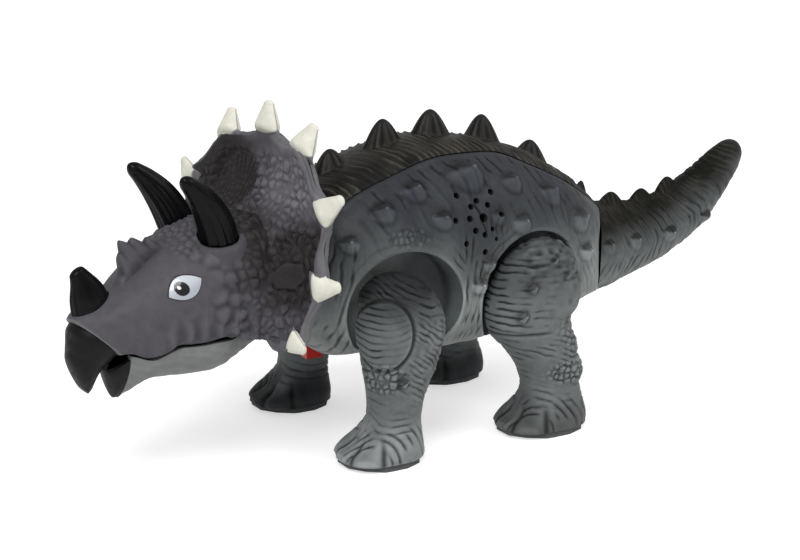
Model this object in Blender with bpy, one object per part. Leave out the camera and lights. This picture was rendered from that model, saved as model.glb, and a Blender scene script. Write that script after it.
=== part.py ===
"""Walking toy dinosaur: hollow moulded shells on a battery drive that swings four legs."""

import math

import bmesh
import bpy
from mathutils import Matrix, Vector

# Frame: metres, nose towards -X, the toy's left towards -Y, ground at z = 0.

# Shared fits and wall
WALL = 0.0022
GAP = 0.0003
CUTTER_OVERRUN = 0.0100
SHAFT_CLEARANCE = 0.0003

# Body: rows of x, top, bottom, half width
BODY_SECTIONS = [
    (-0.0800, 0.1120, 0.0580, 0.0240),
    (-0.0660, 0.1220, 0.0440, 0.0360),
    (-0.0480, 0.1304, 0.0415, 0.0430),
    (-0.0150, 0.1386, 0.0395, 0.0470),
    (0.0140, 0.1370, 0.0400, 0.0470),
    (0.0430, 0.1295, 0.0440, 0.0440),
    (0.0660, 0.1175, 0.0470, 0.0380),
    (0.0820, 0.1055, 0.0485, 0.0310),
    (0.0960, 0.0925, 0.0495, 0.0250),
]
BODY_TOP_POWER = 2.1
BODY_BOTTOM_POWER = 3.0
# Side view of the seam between the flanks and the back cover: rows of x, z
BACK_SEAM = [
    (-0.0850, 0.0970),
    (-0.0585, 0.1170),
    (-0.0380, 0.1255),
    (-0.0128, 0.1322),
    (0.0148, 0.1315),
    (0.0265, 0.1288),
    (0.0390, 0.1206),
    (0.0655, 0.1102),
    (0.1000, 0.0880),
]
# Back spikes: rows of tip x, tip z, base half length, base half width
BACK_SPIKES = [
    (-0.0560, 0.1359, 0.0090, 0.0060),
    (-0.0262, 0.1476, 0.0105, 0.0068),
    (0.0002, 0.1501, 0.0110, 0.0070),
    (0.0292, 0.1453, 0.0110, 0.0068),
    (0.0590, 0.1300, 0.0100, 0.0062),
]
SPIKE_LEAN = 0.0030
SPIKE_SINK = 0.0012
# Folds that run down the back cover towards the rear
BACK_FOLD_STATIONS = 45
BACK_FOLD_HEIGHT = 0.0007
BACK_FOLD_SEAM_MARGIN = 0.0025
# Back and tail spike profile: rows of share of the height, share of the base size
SPIKE_PROFILE = [(0.0, 1.0), (0.45, 0.62), (0.85, 0.286), (1.0, 0.11)]

# Leg wells and hips
WELL_CLEARANCE = 0.0025
FRONT_WELL_X = -0.0375
FRONT_WELL_Z = 0.0630
FRONT_WELL_RADIUS = 0.0325
HIND_WELL_X = 0.0310
HIND_WELL_Z = 0.0675
HIND_WELL_RADIUS = 0.0292
FRONT_HIP_X = -0.0435
FRONT_HIP_Z = 0.0690
HIND_HIP_X = 0.0300
HIND_HIP_Z = 0.0680

# Legs: rows of z, middle x, half length, half thickness
FRONT_LEG = [
    (0.0030, -0.0530, 0.0200, 0.0172),
    (0.0075, -0.0525, 0.0198, 0.0172),
    (0.0125, -0.0498, 0.0166, 0.0150),
    (0.0200, -0.0462, 0.0124, 0.0118),
    (0.0300, -0.0450, 0.0132, 0.0122),
    (0.0420, -0.0437, 0.0172, 0.0132),
    (0.0540, -0.0432, 0.0209, 0.0138),
    (0.0660, -0.0435, 0.0222, 0.0138),
    (0.0760, -0.0443, 0.0202, 0.0126),
    (0.0840, -0.0455, 0.0152, 0.0103),
    (0.0885, -0.0462, 0.0095, 0.0070),
    (0.0905, -0.0466, 0.0045, 0.0035),
]
HIND_LEG = [
    (0.0030, 0.0350, 0.0224, 0.0172),
    (0.0075, 0.0358, 0.0220, 0.0172),
    (0.0125, 0.0380, 0.0188, 0.0152),
    (0.0200, 0.0405, 0.0156, 0.0124),
    (0.0300, 0.0395, 0.0162, 0.0126),
    (0.0400, 0.0355, 0.0192, 0.0132),
    (0.0500, 0.0312, 0.0240, 0.0138),
    (0.0600, 0.0300, 0.0262, 0.0140),
    (0.0700, 0.0302, 0.0264, 0.0140),
    (0.0800, 0.0300, 0.0238, 0.0128),
    (0.0880, 0.0292, 0.0175, 0.0103),
    (0.0925, 0.0288, 0.0105, 0.0070),
    (0.0945, 0.0286, 0.0050, 0.0035),
]
LEG_POWER = 2.3
TOE_DEPTH = 0.09
TOE_HEIGHT = 0.0140
TOE_COUNT = 3
TOE_SPREAD = 0.30
SOLE_THICKNESS = 0.0027
SOLE_INSET = 0.0012
SOLE_TOE_LIFT = 0.0012
SOLE_LIFT_SHARE = 0.45

# Hip shafts with their rocker plates
HIP_SHAFT_RADIUS = 0.0040
HIP_HUB_RADIUS = 0.0070
HIP_HUB_START = 0.0200
ROCKER_HUB_RADIUS = 0.0062
ROCKER_PLATE = 0.0028
ROCKER_PLATE_Y = 0.0233
ROCKER_WIDTH = 0.0090
ROCKER_REACH = 0.0330
ROCKER_SLOT_WIDTH = 0.0040
ROCKER_SLOT_LENGTH = 0.0130
ROCKER_CLEARANCE = 0.0007
LINK_LEVER = 0.0080
LINK_PIN_RADIUS = 0.0016
LINK_WIDTH = 0.0042
LINK_THICKNESS = 0.0026
LINK_Y = 0.0200
LINK_EYE_RADIUS = 0.0038

# The wells clear the rockers, and the legs stand clear of the well floors
WELL_FLOOR = ROCKER_PLATE_Y + ROCKER_PLATE + ROCKER_CLEARANCE + WALL
WELL_BOTTOM = FRONT_WELL_Z - FRONT_WELL_RADIUS
LEG_MIDDLE = WELL_FLOOR + WELL_CLEARANCE + max(row[3] for row in FRONT_LEG + HIND_LEG if row[0] > WELL_BOTTOM)

# Drive
CRANK_X = 0.0300
CRANK_Z = 0.0920
COMPOUND_ANGLE = math.radians(160.0)
MOTOR_ANGLE = math.radians(180.0)
GEAR_MODULE = 0.0010
PINION_TEETH = 10
WHEEL_TEETH = 24
TOOTH_SHARE = 0.40
TOOTH_DEPTH_SHARE = 0.80
TOOTH_ROOT_SHARE = 1.05
TOOTH_FLANK_SHARE = 0.10
PLATE_Y = 0.0150
PLATE_THICKNESS = 0.0020
PLATE_FRONT = -0.0140
PLATE_REAR = 0.0380
PLATE_TOP = 0.1080
CRANK_SHAFT_RADIUS = 0.0020
COMPOUND_SHAFT_RADIUS = 0.0015
CRANK_ARM_RADIUS = 0.0070
CRANK_ARM_THICKNESS = 0.0020
CRANK_ARM_Y = 0.0178
CRANK_THROW = 0.0040
CRANK_PIN_RADIUS = 0.0015
MOTOR_RADIUS = 0.0100
MOTOR_LENGTH = 0.0200
MOTOR_SHAFT_RADIUS = 0.0010
WHEEL_WIDTH = 0.0030
CRANK_WHEEL_Y = 0.0040
COMPOUND_WHEEL_Y = 0.0085

# Battery bay
BAY_FRONT = -0.0245
BAY_BOSS_MARGIN = 0.0045
BAY_BOSS_HALF_WIDTH = 0.0060
BAY_BOTTOM = 0.0478
BAY_WALL = 0.0014
CELL_RADIUS = 0.0071
CELL_LENGTH = 0.0495
CELL_BUTTON_RADIUS = 0.0027
CELL_BUTTON_LENGTH = 0.0010
CELL_SPACING = 0.0006
CELL_FLOOR_SPACE = 0.0015
DOOR_FRONT = -0.0230
DOOR_REAR_MARGIN = 0.0035
DOOR_HALF_WIDTH = 0.0190
DOOR_SCREW_LEDGE_SHARE = 0.5
DOOR_SCREW_SETBACK = 0.0041

# Screws
SCREW_RADIUS = 0.0013
SCREW_HEAD_RADIUS = 0.0027
SCREW_HEAD_HEIGHT = 0.0018
SCREW_DEPTH = 0.0140
PILLAR_RADIUS = 0.0046
PILLAR_INSET = 0.0070
# Rows of x, z
PILLARS = [(-0.0490, 0.1130), (0.0240, 0.1200), (0.0680, 0.0550)]

# Sound and electronics
SPEAKER_X = -0.0005
SPEAKER_Z = 0.1065
SPEAKER_TILT = math.radians(20.0)
SPEAKER_RADIUS = 0.0145
SPEAKER_DEPTH = 0.0070
SPEAKER_INSET = 0.0062
SPEAKER_CUP_WALL = 0.0014
SPEAKER_CUP_LIP = 0.0030
SPEAKER_MAGNET_SHARE = 0.60
SPEAKER_CONE_SHARE = 0.95
SPEAKER_CONE_END_SHARE = 0.30
SPEAKER_CONE_DEPTH_SHARE = 0.35
GRILLE_HOLE_RADIUS = 0.0012
GRILLE_HOLE_STEPS = 6
# Rows of offset along x, offset upwards in the speaker's plane
GRILLE_HOLES = [
    (-0.0088, 0.0110),
    (0.0009, 0.0078),
    (-0.0029, 0.0054),
    (0.0063, 0.0053),
    (0.0092, 0.0096),
    (-0.0116, 0.0001),
    (-0.0047, 0.0001),
    (0.0028, -0.0002),
    (0.0114, 0.0001),
    (-0.0024, -0.0057),
    (0.0023, -0.0089),
    (0.0069, -0.0060),
    (-0.0074, -0.0104),
    (0.0083, -0.0106),
]
BOARD_FRONT = -0.0400
BOARD_REAR = -0.0180
BOARD_HALF_WIDTH = 0.0180
BOARD_Z = 0.1180
BOARD_THICKNESS = 0.0016
LEDGE_WIDTH = 0.0040
LEDGE_DEPTH = 0.0040
SWITCH_X = -0.0640
SWITCH_HALF_LENGTH = 0.0040
SWITCH_HALF_WIDTH = 0.0030
SWITCH_DROP = 0.0045
SWITCH_SLOT_HEIGHT = 0.0088
SWITCH_TRAVEL = 0.0040
SWITCH_HOUSING_LIFT = 0.0021
SWITCH_HOUSING_HEIGHT = 0.0060
SWITCH_HOUSING_MARGIN = 0.0030

# Neck and head
NECK_X = -0.0614
HEAD_YAW_AT_REST = math.radians(11.0)
NECK_PIN_RADIUS = 0.0025
NECK_PIN_BOTTOM = 0.0600
NECK_PIN_TOP = 0.1080
NECK_BOSS_RADIUS = 0.0060
NECK_ARM_BOTTOM = 0.0680
NECK_ARM_TOP = 0.0960
NECK_ARM_HALF_WIDTH = 0.0080
NECK_PLATE_THICKNESS = 0.0030
NECK_SLOT_HALF_WIDTH = 0.0140
NECK_SLOT_MARGIN = 0.0005
RIB_THICKNESS = 0.0030
RIB_MARGIN = 0.0045

# Upper head, measured from the neck axis: rows of x, top, bottom, half width
HEAD_SECTIONS = [
    (-0.1300, 0.0808, 0.0690, 0.0050),
    (-0.1260, 0.0836, 0.0672, 0.0088),
    (-0.1180, 0.0868, 0.0650, 0.0134),
    (-0.1080, 0.0915, 0.0640, 0.0180),
    (-0.1005, 0.0965, 0.0617, 0.0212),
    (-0.0900, 0.1035, 0.0655, 0.0245),
    (-0.0800, 0.1085, 0.0655, 0.0275),
    (-0.0680, 0.1130, 0.0655, 0.0300),
    (-0.0540, 0.1150, 0.0622, 0.0325),
    (-0.0420, 0.1140, 0.0620, 0.0315),
    (-0.0300, 0.1110, 0.0650, 0.0290),
]
HEAD_WAIST_SHARE = 0.38
HEAD_TOP_POWER = 2.3
HEAD_BOTTOM_POWER = 6.0
HEAD_FLOOR_FRONT = -0.1100
HEAD_FLOOR_DROP = 0.0200
# The beak meets the snout on the plane where x + z is this
BEAK_PLANE = -0.0485
# Beak rings: rows of plane sum, middle x, half length, half width
BEAK_RINGS = [
    (-0.0489, -0.1216, 0.0103, 0.0128),
    (-0.0530, -0.1232, 0.0105, 0.0119),
    (-0.0580, -0.1243, 0.0100, 0.0107),
    (-0.0630, -0.1252, 0.0094, 0.0092),
    (-0.0680, -0.1257, 0.0080, 0.0073),
    (-0.0725, -0.1254, 0.0057, 0.0051),
    (-0.0755, -0.1247, 0.0029, 0.0027),
]
# Snout crest bumps: rows of x, z, radius
CREST = [(-0.1045, 0.0955, 0.0052), (-0.0985, 0.1010, 0.0062), (-0.0920, 0.1045, 0.0058)]
CREST_HALF_WIDTH = 0.0042
NOSE_HORN_BASE = (-0.1185, 0.0, 0.0835)
NOSE_HORN_TIP = (-0.1258, 0.0, 0.1017)
NOSE_HORN_BEND = (-0.1213, 0.0, 0.0947)
NOSE_HORN_HALF_LENGTH = 0.0085
NOSE_HORN_TIP_HALF_LENGTH = 0.0029
NOSE_HORN_HALF_WIDTH = 0.0056
BROW_HORN_BASE = (-0.0635, 0.0150, 0.1020)
BROW_HORN_BEND = (-0.0665, 0.0185, 0.1230)
BROW_HORN_TIP = (-0.0855, 0.0205, 0.1375)
BROW_HORN_BASE_RADIUS = 0.0076
BROW_HORN_TIP_RADIUS = 0.0024
# Lips round the brow horns' sockets
BROW_LIP_RISE = 0.0045
BROW_LIP_SINK = 0.0020
BROW_LIP_FOOT_RADIUS = 0.0118
BROW_LIP_RADIUS = 0.0098
# Bumps in a column behind the eye: rows of x, y, z, radius
CHEEK_BUMPS = [
    (-0.0733, 0.0229, 0.1016, 0.0042),
    (-0.0740, 0.0267, 0.0939, 0.0046),
    (-0.0733, 0.0285, 0.0866, 0.0044),
    (-0.0717, 0.0290, 0.0788, 0.0042),
    (-0.0677, 0.0294, 0.0714, 0.0038),
]
CHEEK_BUMP_HEIGHT = 0.0018
# Stations along a horn, the last one being the blunt tip
HORN_SHARES = (0.0, 0.2, 0.4, 0.6, 0.8, 0.94, 1.0)
HORN_BLUNT_SHARE = 0.4
EYE_X = -0.0874
EYE_Z = 0.0920
EYE_HALF_LENGTH = 0.0092
EYE_HALF_HEIGHT = 0.0046
EYE_HALF_DEPTH = 0.0022
EYE_TILT = math.radians(-17.0)
EYE_TURN = math.radians(14.0)
EYE_ROLL = math.radians(24.0)

# Frill: rows of rim x, y, z and root x, y, z, from the top middle to the cheek
FRILL = [
    (-0.0265, 0.0000, 0.1470, -0.0400, 0.0000, 0.1090),
    (-0.0275, 0.0140, 0.1440, -0.0420, 0.0100, 0.1080),
    (-0.0295, 0.0270, 0.1430, -0.0450, 0.0190, 0.1050),
    (-0.0335, 0.0405, 0.1320, -0.0500, 0.0255, 0.0985),
    (-0.0350, 0.0490, 0.1200, -0.0540, 0.0280, 0.0925),
    (-0.0370, 0.0505, 0.1050, -0.0560, 0.0290, 0.0860),
    (-0.0410, 0.0510, 0.0890, -0.0580, 0.0290, 0.0795),
    (-0.0470, 0.0485, 0.0770, -0.0590, 0.0285, 0.0735),
    (-0.0530, 0.0455, 0.0685, -0.0595, 0.0280, 0.0700),
    (-0.0585, 0.0390, 0.0640, -0.0600, 0.0260, 0.0675),
]
# Frill plate and hollow: the first of the two rows they lie between, and their shape
FRILL_PLATE_ROW = 5
FRILL_PLATE_RADIUS = 0.0068
FRILL_PLATE_TOP_RADIUS = 0.0058
FRILL_PLATE_HALF_HEIGHT = 0.0011
FRILL_PLATE_SIDES = 6
FRILL_HOLLOW_ROW = 1
FRILL_HOLLOW_RADIUS = 0.0130
FRILL_HOLLOW_HALF_HEIGHT = 0.0040
FRILL_HOLLOW_DEPTH = 0.0009
FRILL_DISH = 0.0060
FRILL_THICKNESS = 0.0022
FRILL_STEPS = 3
# Frill spikes: rows of base x, y, z, tip x, y, z, base half width
FRILL_SPIKES = [
    (-0.0275, 0.0000, 0.1435, -0.0250, 0.0000, 0.1618, 0.0070),
    (-0.0302, 0.0258, 0.1395, -0.0235, 0.0305, 0.1548, 0.0070),
    (-0.0355, 0.0465, 0.1185, -0.0318, 0.0595, 0.1280, 0.0070),
    (-0.0412, 0.0485, 0.0885, -0.0340, 0.0606, 0.0900, 0.0070),
    (-0.0525, 0.0432, 0.0702, -0.0512, 0.0520, 0.0668, 0.0050),
]
FRILL_SPIKE_HALF_DEPTH = 0.0027
# Frill spike profile: rows of share of the height, share of the base size
FRILL_SPIKE_PROFILE = [(0.0, 1.0), (0.5, 0.72), (0.88, 0.34), (1.0, 0.12)]
FRILL_COVER_THICKNESS = 0.0020
FRILL_COVER_STANDOFF = 0.0040
FRILL_COVER_ROOT = 0.38
FRILL_COVER_EDGE = 0.92

# Lower jaw, measured from the neck axis: rows of x, bottom, half width
JAW_SECTIONS = [
    (-0.1108, 0.0440, 0.0128),
    (-0.1060, 0.0463, 0.0152),
    (-0.1005, 0.0492, 0.0178),
    (-0.0900, 0.0496, 0.0212),
    (-0.0800, 0.0486, 0.0232),
    (-0.0700, 0.0482, 0.0246),
    (-0.0620, 0.0502, 0.0250),
    (-0.0560, 0.0548, 0.0245),
]
JAW_RIM_GAP = 0.0006
JAW_OPENING = 0.0100
# Lower beak in front of the jaw: rows of x, rim, bottom, half width
LOWER_BEAK = [
    (-0.1160, 0.0588, 0.0560, 0.0045),
    (-0.1140, 0.0604, 0.0510, 0.0082),
    (-0.1111, 0.0622, 0.0434, 0.0116),
]
LOWER_BEAK_WALL = 0.0014
JAW_HINGE_X = -0.0640
JAW_HINGE_Z = 0.0600
JAW_PIN_RADIUS = 0.0012
JAW_PIN_HALF_LENGTH = 0.0236
JAW_LUG_HALF_LENGTH = 0.0030
JAW_LUG_THICKNESS = 0.0030
JAW_LUG_Y = 0.0140
JAW_LUG_DROP = 0.0032
JAW_SHELF_Z = 0.0720

# Tail: spine rows of x, z, half height, half width
TAIL_SPINE = [
    (0.0840, 0.0714, 0.0232, 0.0245),
    (0.0920, 0.0722, 0.0224, 0.0236),
    (0.1080, 0.0738, 0.0200, 0.0202),
    (0.1270, 0.0770, 0.0165, 0.0165),
    (0.1450, 0.0830, 0.0143, 0.0140),
    (0.1605, 0.0925, 0.0120, 0.0115),
    (0.1730, 0.1030, 0.0095, 0.0090),
    (0.1830, 0.1118, 0.0068, 0.0064),
    (0.1885, 0.1172, 0.0036, 0.0034),
]
# Tail spikes: rows of tip x, tip z, base x, base z, base half length, base half width
TAIL_SPIKES = [
    (0.1075, 0.0994, 0.1060, 0.0915, 0.0070, 0.0045),
    (0.1260, 0.0990, 0.1245, 0.0910, 0.0070, 0.0042),
    (0.1425, 0.1025, 0.1400, 0.0940, 0.0065, 0.0040),
]
TAIL_POWER = 2.0
TAIL_PIVOT_X = 0.0520
TAIL_SEAM_RADIUS = 0.0400
TAIL_SEAM_GAP = 0.0016
BODY_REAR_OVERRUN = 0.0040
TAIL_PIN_RADIUS = 0.0025
TAIL_PIN_BOTTOM = 0.0640
TAIL_PIN_TOP = 0.0990
TAIL_BOSS_RADIUS = 0.0060
TAIL_ARM_HALF_WIDTH = 0.0040
TAIL_ARM_BOTTOM = 0.0680
TAIL_ARM_TOP = 0.0880
TAIL_PLUG_X = 0.0990
TAIL_PLUG_THICKNESS = 0.0030

# Mesh fineness
BODY_STATIONS = 15
BODY_AROUND = 20
HEAD_STATIONS = 11
HEAD_CAVITY_STATIONS = 8
HEAD_AROUND = 16
LEG_AROUND = 12
TAIL_STATIONS = 11
TAIL_SOLID_STATIONS = 4
TAIL_AROUND = 12
ROUND_STEPS = 10
SMALL_STEPS = 8
HORN_STEPS = 10
EYE_STEPS = 14

LEFT = -1.0
RIGHT = 1.0
FAR = 0.3

# Colours: name, colour, roughness, metallic
PAINTS = {
    "flank_grey": ((0.150, 0.155, 0.175), 0.60, 0.0),
    "back_dark": ((0.040, 0.035, 0.035), 0.55, 0.0),
    "head_grey": ((0.210, 0.200, 0.220), 0.60, 0.0),
    "jaw_grey": ((0.300, 0.310, 0.290), 0.55, 0.0),
    "leg_grey": ((0.190, 0.190, 0.200), 0.60, 0.0),
    "beak_black": ((0.015, 0.015, 0.017), 0.35, 0.0),
    "horn_black": ((0.030, 0.028, 0.028), 0.28, 0.0),
    "frill_back_grey": ((0.230, 0.230, 0.235), 0.60, 0.0),
    "eye_white": ((0.500, 0.500, 0.490), 0.25, 0.0),
    "switch_red": ((0.600, 0.030, 0.030), 0.40, 0.0),
    "sole_dark": ((0.060, 0.060, 0.065), 0.75, 0.0),
    "inner_black": ((0.030, 0.030, 0.030), 0.50, 0.0),
    "gear_white": ((0.750, 0.740, 0.700), 0.45, 0.0),
    "steel": ((0.550, 0.550, 0.560), 0.30, 1.0),
    "cell_label": ((0.080, 0.120, 0.300), 0.40, 0.0),
    "board_green": ((0.030, 0.180, 0.080), 0.45, 0.0),
}


for leftover in list(bpy.data.objects):
    bpy.data.objects.remove(leftover, do_unlink=True)

parts = bpy.data.collections.new("toy_dinosaur")
helpers = bpy.data.collections.new("cutters")
bpy.context.scene.collection.children.link(parts)
bpy.context.scene.collection.children.link(helpers)
materials = {}


def paint(name):
    """The Principled material of one paint."""
    if name not in materials:
        colour, roughness, metallic = PAINTS[name]
        made = bpy.data.materials.new(name)
        made.use_nodes = True
        shader = made.node_tree.nodes["Principled BSDF"]
        shader.inputs["Base Color"].default_value = (*colour, 1.0)
        shader.inputs["Roughness"].default_value = roughness
        shader.inputs["Metallic"].default_value = metallic
        materials[name] = made
    return materials[name]


def spline(rows, at):
    """The rows' values at one place along their first column, on a smooth curve through them."""
    last = len(rows) - 1
    k = 0
    while k < last - 1 and at > rows[k + 1][0]:
        k += 1
    span = rows[k + 1][0] - rows[k][0]
    u = (at - rows[k][0]) / span
    values = []
    for c in range(1, len(rows[0])):
        a = rows[k][c]
        b = rows[k + 1][c]
        slope_a = (b - a) / span
        slope_b = slope_a
        if k > 0:
            slope_a = (b - rows[k - 1][c]) / (rows[k + 1][0] - rows[k - 1][0])
        if k + 2 <= last:
            slope_b = (rows[k + 2][c] - a) / (rows[k + 2][0] - rows[k][0])
        rise = slope_a * span
        fall = slope_b * span
        values.append(
            a
            + rise * u
            + (3 * (b - a) - 2 * rise - fall) * u ** 2
            + (2 * (a - b) + rise + fall) * u ** 3
        )
    return values


def oval(count, half_width, up, down, top_power, bottom_power):
    """Points (side, height) of an oval whose upper and lower halves have their own squareness."""
    points = []
    for k in range(count):
        angle = 2 * math.pi * (k + 0.5) / count
        c = math.cos(angle)
        s = math.sin(angle)
        power = top_power if s >= 0 else bottom_power
        side = math.copysign(abs(c) ** (2 / power), c) * half_width
        height = math.copysign(abs(s) ** (2 / power), s) * (up if s >= 0 else down)
        points.append((side, height))
    return points


def add_object(name, mesh_builder):
    """A helper object from a bmesh, faces turned outwards."""
    bmesh.ops.remove_doubles(mesh_builder, verts=mesh_builder.verts, dist=1e-6)
    bmesh.ops.recalc_face_normals(mesh_builder, faces=mesh_builder.faces)
    if mesh_builder.calc_volume(signed=True) < 0:
        bmesh.ops.reverse_faces(mesh_builder, faces=mesh_builder.faces)
    mesh = bpy.data.meshes.new(name)
    mesh_builder.to_mesh(mesh)
    mesh_builder.free()
    made = bpy.data.objects.new(name, mesh)
    made.hide_render = True
    made.display_type = "WIRE"
    helpers.objects.link(made)
    return made


def loft(rings, name="loft"):
    """A closed skin through rings that hold the same number of points, with flat ends."""
    built = bmesh.new()
    rows = [[built.verts.new(point) for point in ring] for ring in rings]
    count = len(rows[0])
    for below, above in zip(rows, rows[1:]):
        for k in range(count):
            n = (k + 1) % count
            built.faces.new((below[k], below[n], above[n], above[k]))
    built.faces.new(rows[0])
    built.faces.new(rows[-1])
    return add_object(name, built)


def stations(first, last, count):
    return [first + (last - first) * k / (count - 1) for k in range(count)]


def box(x0, x1, y0, y1, z0, z1):
    """A box between two corners."""
    rings = []
    for z in (z0, z1):
        rings.append([(x0, y0, z), (x1, y0, z), (x1, y1, z), (x0, y1, z)])
    return loft(rings, "box")


def rod(start, end, radius, end_radius=None, steps=ROUND_STEPS):
    """A round bar or cone between two points."""
    start = Vector(start)
    end = Vector(end)
    turn = (end - start).to_track_quat("Z", "Y")
    rings = []
    for middle, size in ((start, radius), (end, radius if end_radius is None else end_radius)):
        ring = []
        for k in range(steps):
            angle = 2 * math.pi * (k + 0.5) / steps
            ring.append(middle + turn @ Vector((math.cos(angle) * size, math.sin(angle) * size, 0)))
        rings.append(ring)
    return loft(rings, "rod")


def cross_bar(x, z, y0, y1, radius, steps=ROUND_STEPS):
    """A round bar across the toy."""
    return rod((x, y0, z), (x, y1, z), radius, None, steps)


def post(x, y, z0, z1, radius, steps=ROUND_STEPS):
    """A round upright bar."""
    return rod((x, y, z0), (x, y, z1), radius, None, steps)


def combine(base, other, operation, crossing=False):
    """Cuts, joins or intersects two helpers; crossing allows skins that cross themselves."""
    modifier = base.modifiers.new("cut", "BOOLEAN")
    modifier.operation = operation
    modifier.solver = "EXACT"
    modifier.use_self = crossing
    modifier.object = other
    graph = bpy.context.evaluated_depsgraph_get()
    mesh = bpy.data.meshes.new_from_object(base.evaluated_get(graph))
    base.modifiers.clear()
    worn = base.data
    base.data = mesh
    bpy.data.meshes.remove(worn)
    bpy.data.objects.remove(other, do_unlink=True)
    return base


def cut(base, *others):
    for other in others:
        combine(base, other, "DIFFERENCE")
    return base


def join(base, *others):
    for other in others:
        combine(base, other, "UNION")
    return base


def common(base, other):
    return combine(base, other, "INTERSECT")


def copy(made):
    twin = made.copy()
    twin.data = made.data.copy()
    helpers.objects.link(twin)
    return twin


def joint_frame(name, place, parent=None, turn=0.0):
    """An empty on a joint's axis."""
    made = bpy.data.objects.new(name, None)
    made.empty_display_size = 0.01
    made.location = place
    made.rotation_euler = (0.0, 0.0, turn)
    made.parent = parent
    parts.objects.link(made)
    return made


def keep(made, name, coat, frame, origin=(0.0, 0.0, 0.0)):
    """Turns a helper into a named part of one joint frame, its mesh measured from the frame's origin."""
    made.data.transform(Matrix.Translation(-Vector(origin)))
    made.name = name
    made.data.name = name
    made.data.materials.clear()
    made.data.materials.append(paint(coat))
    made.hide_render = False
    made.display_type = "TEXTURED"
    helpers.objects.unlink(made)
    parts.objects.link(made)
    made.parent = frame
    return made


# Body


def body_ring(x, inset):
    top, bottom, half_width = spline(BODY_SECTIONS, x)
    middle = (top + bottom) / 2
    half = (top - bottom) / 2 - inset
    ring = []
    for side, height in oval(
        BODY_AROUND, half_width - inset, half, half, BODY_TOP_POWER, BODY_BOTTOM_POWER
    ):
        ring.append((x, side, middle + height))
    return ring


def body_solid(inset, front_shift, rear_shift):
    """The body's skin, inset, with its end rings moved along x."""
    first = BODY_SECTIONS[0][0]
    last = TAIL_PIVOT_X + TAIL_SEAM_RADIUS + BODY_REAR_OVERRUN
    rings = []
    for k in range(BODY_STATIONS):
        x = first + (last - first) * k / (BODY_STATIONS - 1)
        rings.append(body_ring(x, inset))
    rings[0] = [(x + front_shift, y, z) for x, y, z in rings[0]]
    rings[-1] = [(x + rear_shift, y, z) for x, y, z in rings[-1]]
    return loft(rings, "body")


def well(x, z, radius, floor, side):
    return cross_bar(x, z, side * floor, side * FAR, radius, 2 * ROUND_STEPS)


def cut_wells(solid, grow):
    """Cuts the four leg wells, grown by a wall where the inside is cut."""
    for side in (LEFT, RIGHT):
        floor = WELL_FLOOR - grow
        cut(solid, well(FRONT_WELL_X, FRONT_WELL_Z, FRONT_WELL_RADIUS + grow, floor, side))
        cut(solid, well(HIND_WELL_X, HIND_WELL_Z, HIND_WELL_RADIUS + grow, floor, side))
    return solid


def below_seam(shift):
    """The side-view region below the back seam, run through the whole width."""
    line = [(x, z + shift) for x, z in BACK_SEAM]
    outline = [*line, (line[-1][0], -FAR), (line[0][0], -FAR)]
    return loft([[(x, y, z) for x, z in outline] for y in (-FAR, FAR)], "seam")


def tail_seam_cutter(radius):
    """Everything behind the round tail seam."""
    behind = box(TAIL_PIVOT_X, FAR, -FAR, FAR, -FAR, FAR)
    return cut(behind, post(TAIL_PIVOT_X, 0.0, -2 * FAR, 2 * FAR, radius, 4 * ROUND_STEPS))


def spike(base, tip, half_length, half_width):
    """A blunt cone standing on an oval."""
    base = Vector(base)
    tip = Vector(tip)
    rings = []
    for share, size in SPIKE_PROFILE:
        middle = base.lerp(tip, share)
        ring = []
        for k in range(SMALL_STEPS):
            angle = 2 * math.pi * k / SMALL_STEPS
            ring.append(
                middle + Vector((math.cos(angle) * half_length, math.sin(angle) * half_width, 0)) * size
            )
        rings.append(ring)
    return loft(rings, "spike")


def seam_height(x):
    """Height of the back seam at one place along the body."""
    for (x0, z0), (x1, z1) in zip(BACK_SEAM, BACK_SEAM[1:]):
        if x <= x1:
            break
    return z0 + (z1 - z0) * (x - x0) / (x1 - x0)


def cover_ring(x, row):
    """One ring of the back cover's skin: every other row is raised, one row further back for each step down."""
    ring = []
    for k, (flat, raised) in enumerate(zip(body_ring(x, 0.0), body_ring(x, -BACK_FOLD_HEIGHT))):
        down = int(abs(k + 0.5 - BODY_AROUND / 4))
        on_fold = (row - down) % 2 == 0 and flat[2] > seam_height(x) + BACK_FOLD_SEAM_MARGIN
        ring.append(raised if on_fold else flat)
    return ring


def cover_skin():
    """The body's skin with folds over the part above the seam."""
    last = TAIL_PIVOT_X + TAIL_SEAM_RADIUS + BODY_REAR_OVERRUN
    rows = stations(BODY_SECTIONS[0][0], last, BACK_FOLD_STATIONS)
    return loft([cover_ring(x, row) for row, x in enumerate(rows)], "cover")


def screw(x, z, seat):
    """A cross screw from the right: its head's underside is at the seat."""
    head = cross_bar(x, z, seat, seat + SCREW_HEAD_HEIGHT, SCREW_HEAD_RADIUS, SMALL_STEPS)
    return join(head, cross_bar(x, z, -SCREW_DEPTH / 2, seat + GAP, SCREW_RADIUS, SMALL_STEPS))


def speaker_axis():
    return Vector((0.0, -math.cos(SPEAKER_TILT), math.sin(SPEAKER_TILT)))


def speaker_place(depth):
    """A point on the speaker's axis, the given depth inside the flank."""
    top, bottom, half_width = spline(BODY_SECTIONS, SPEAKER_X)
    middle = (top + bottom) / 2
    rise = (SPEAKER_Z - middle) / ((top - bottom) / 2)
    side = half_width * (1 - rise ** BODY_TOP_POWER) ** (1 / BODY_TOP_POWER)
    return Vector((SPEAKER_X, -side, SPEAKER_Z)) - speaker_axis() * depth


body_frame = joint_frame("body_frame", (0.0, 0.0, 0.0))

outer_skin = cut_wells(body_solid(0.0, 0.0, 0.0), 0.0)
hollow = cut(outer_skin, cut_wells(body_solid(WALL, WALL, CUTTER_OVERRUN), WALL))
cut(hollow, tail_seam_cutter(TAIL_SEAM_RADIUS))
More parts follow.
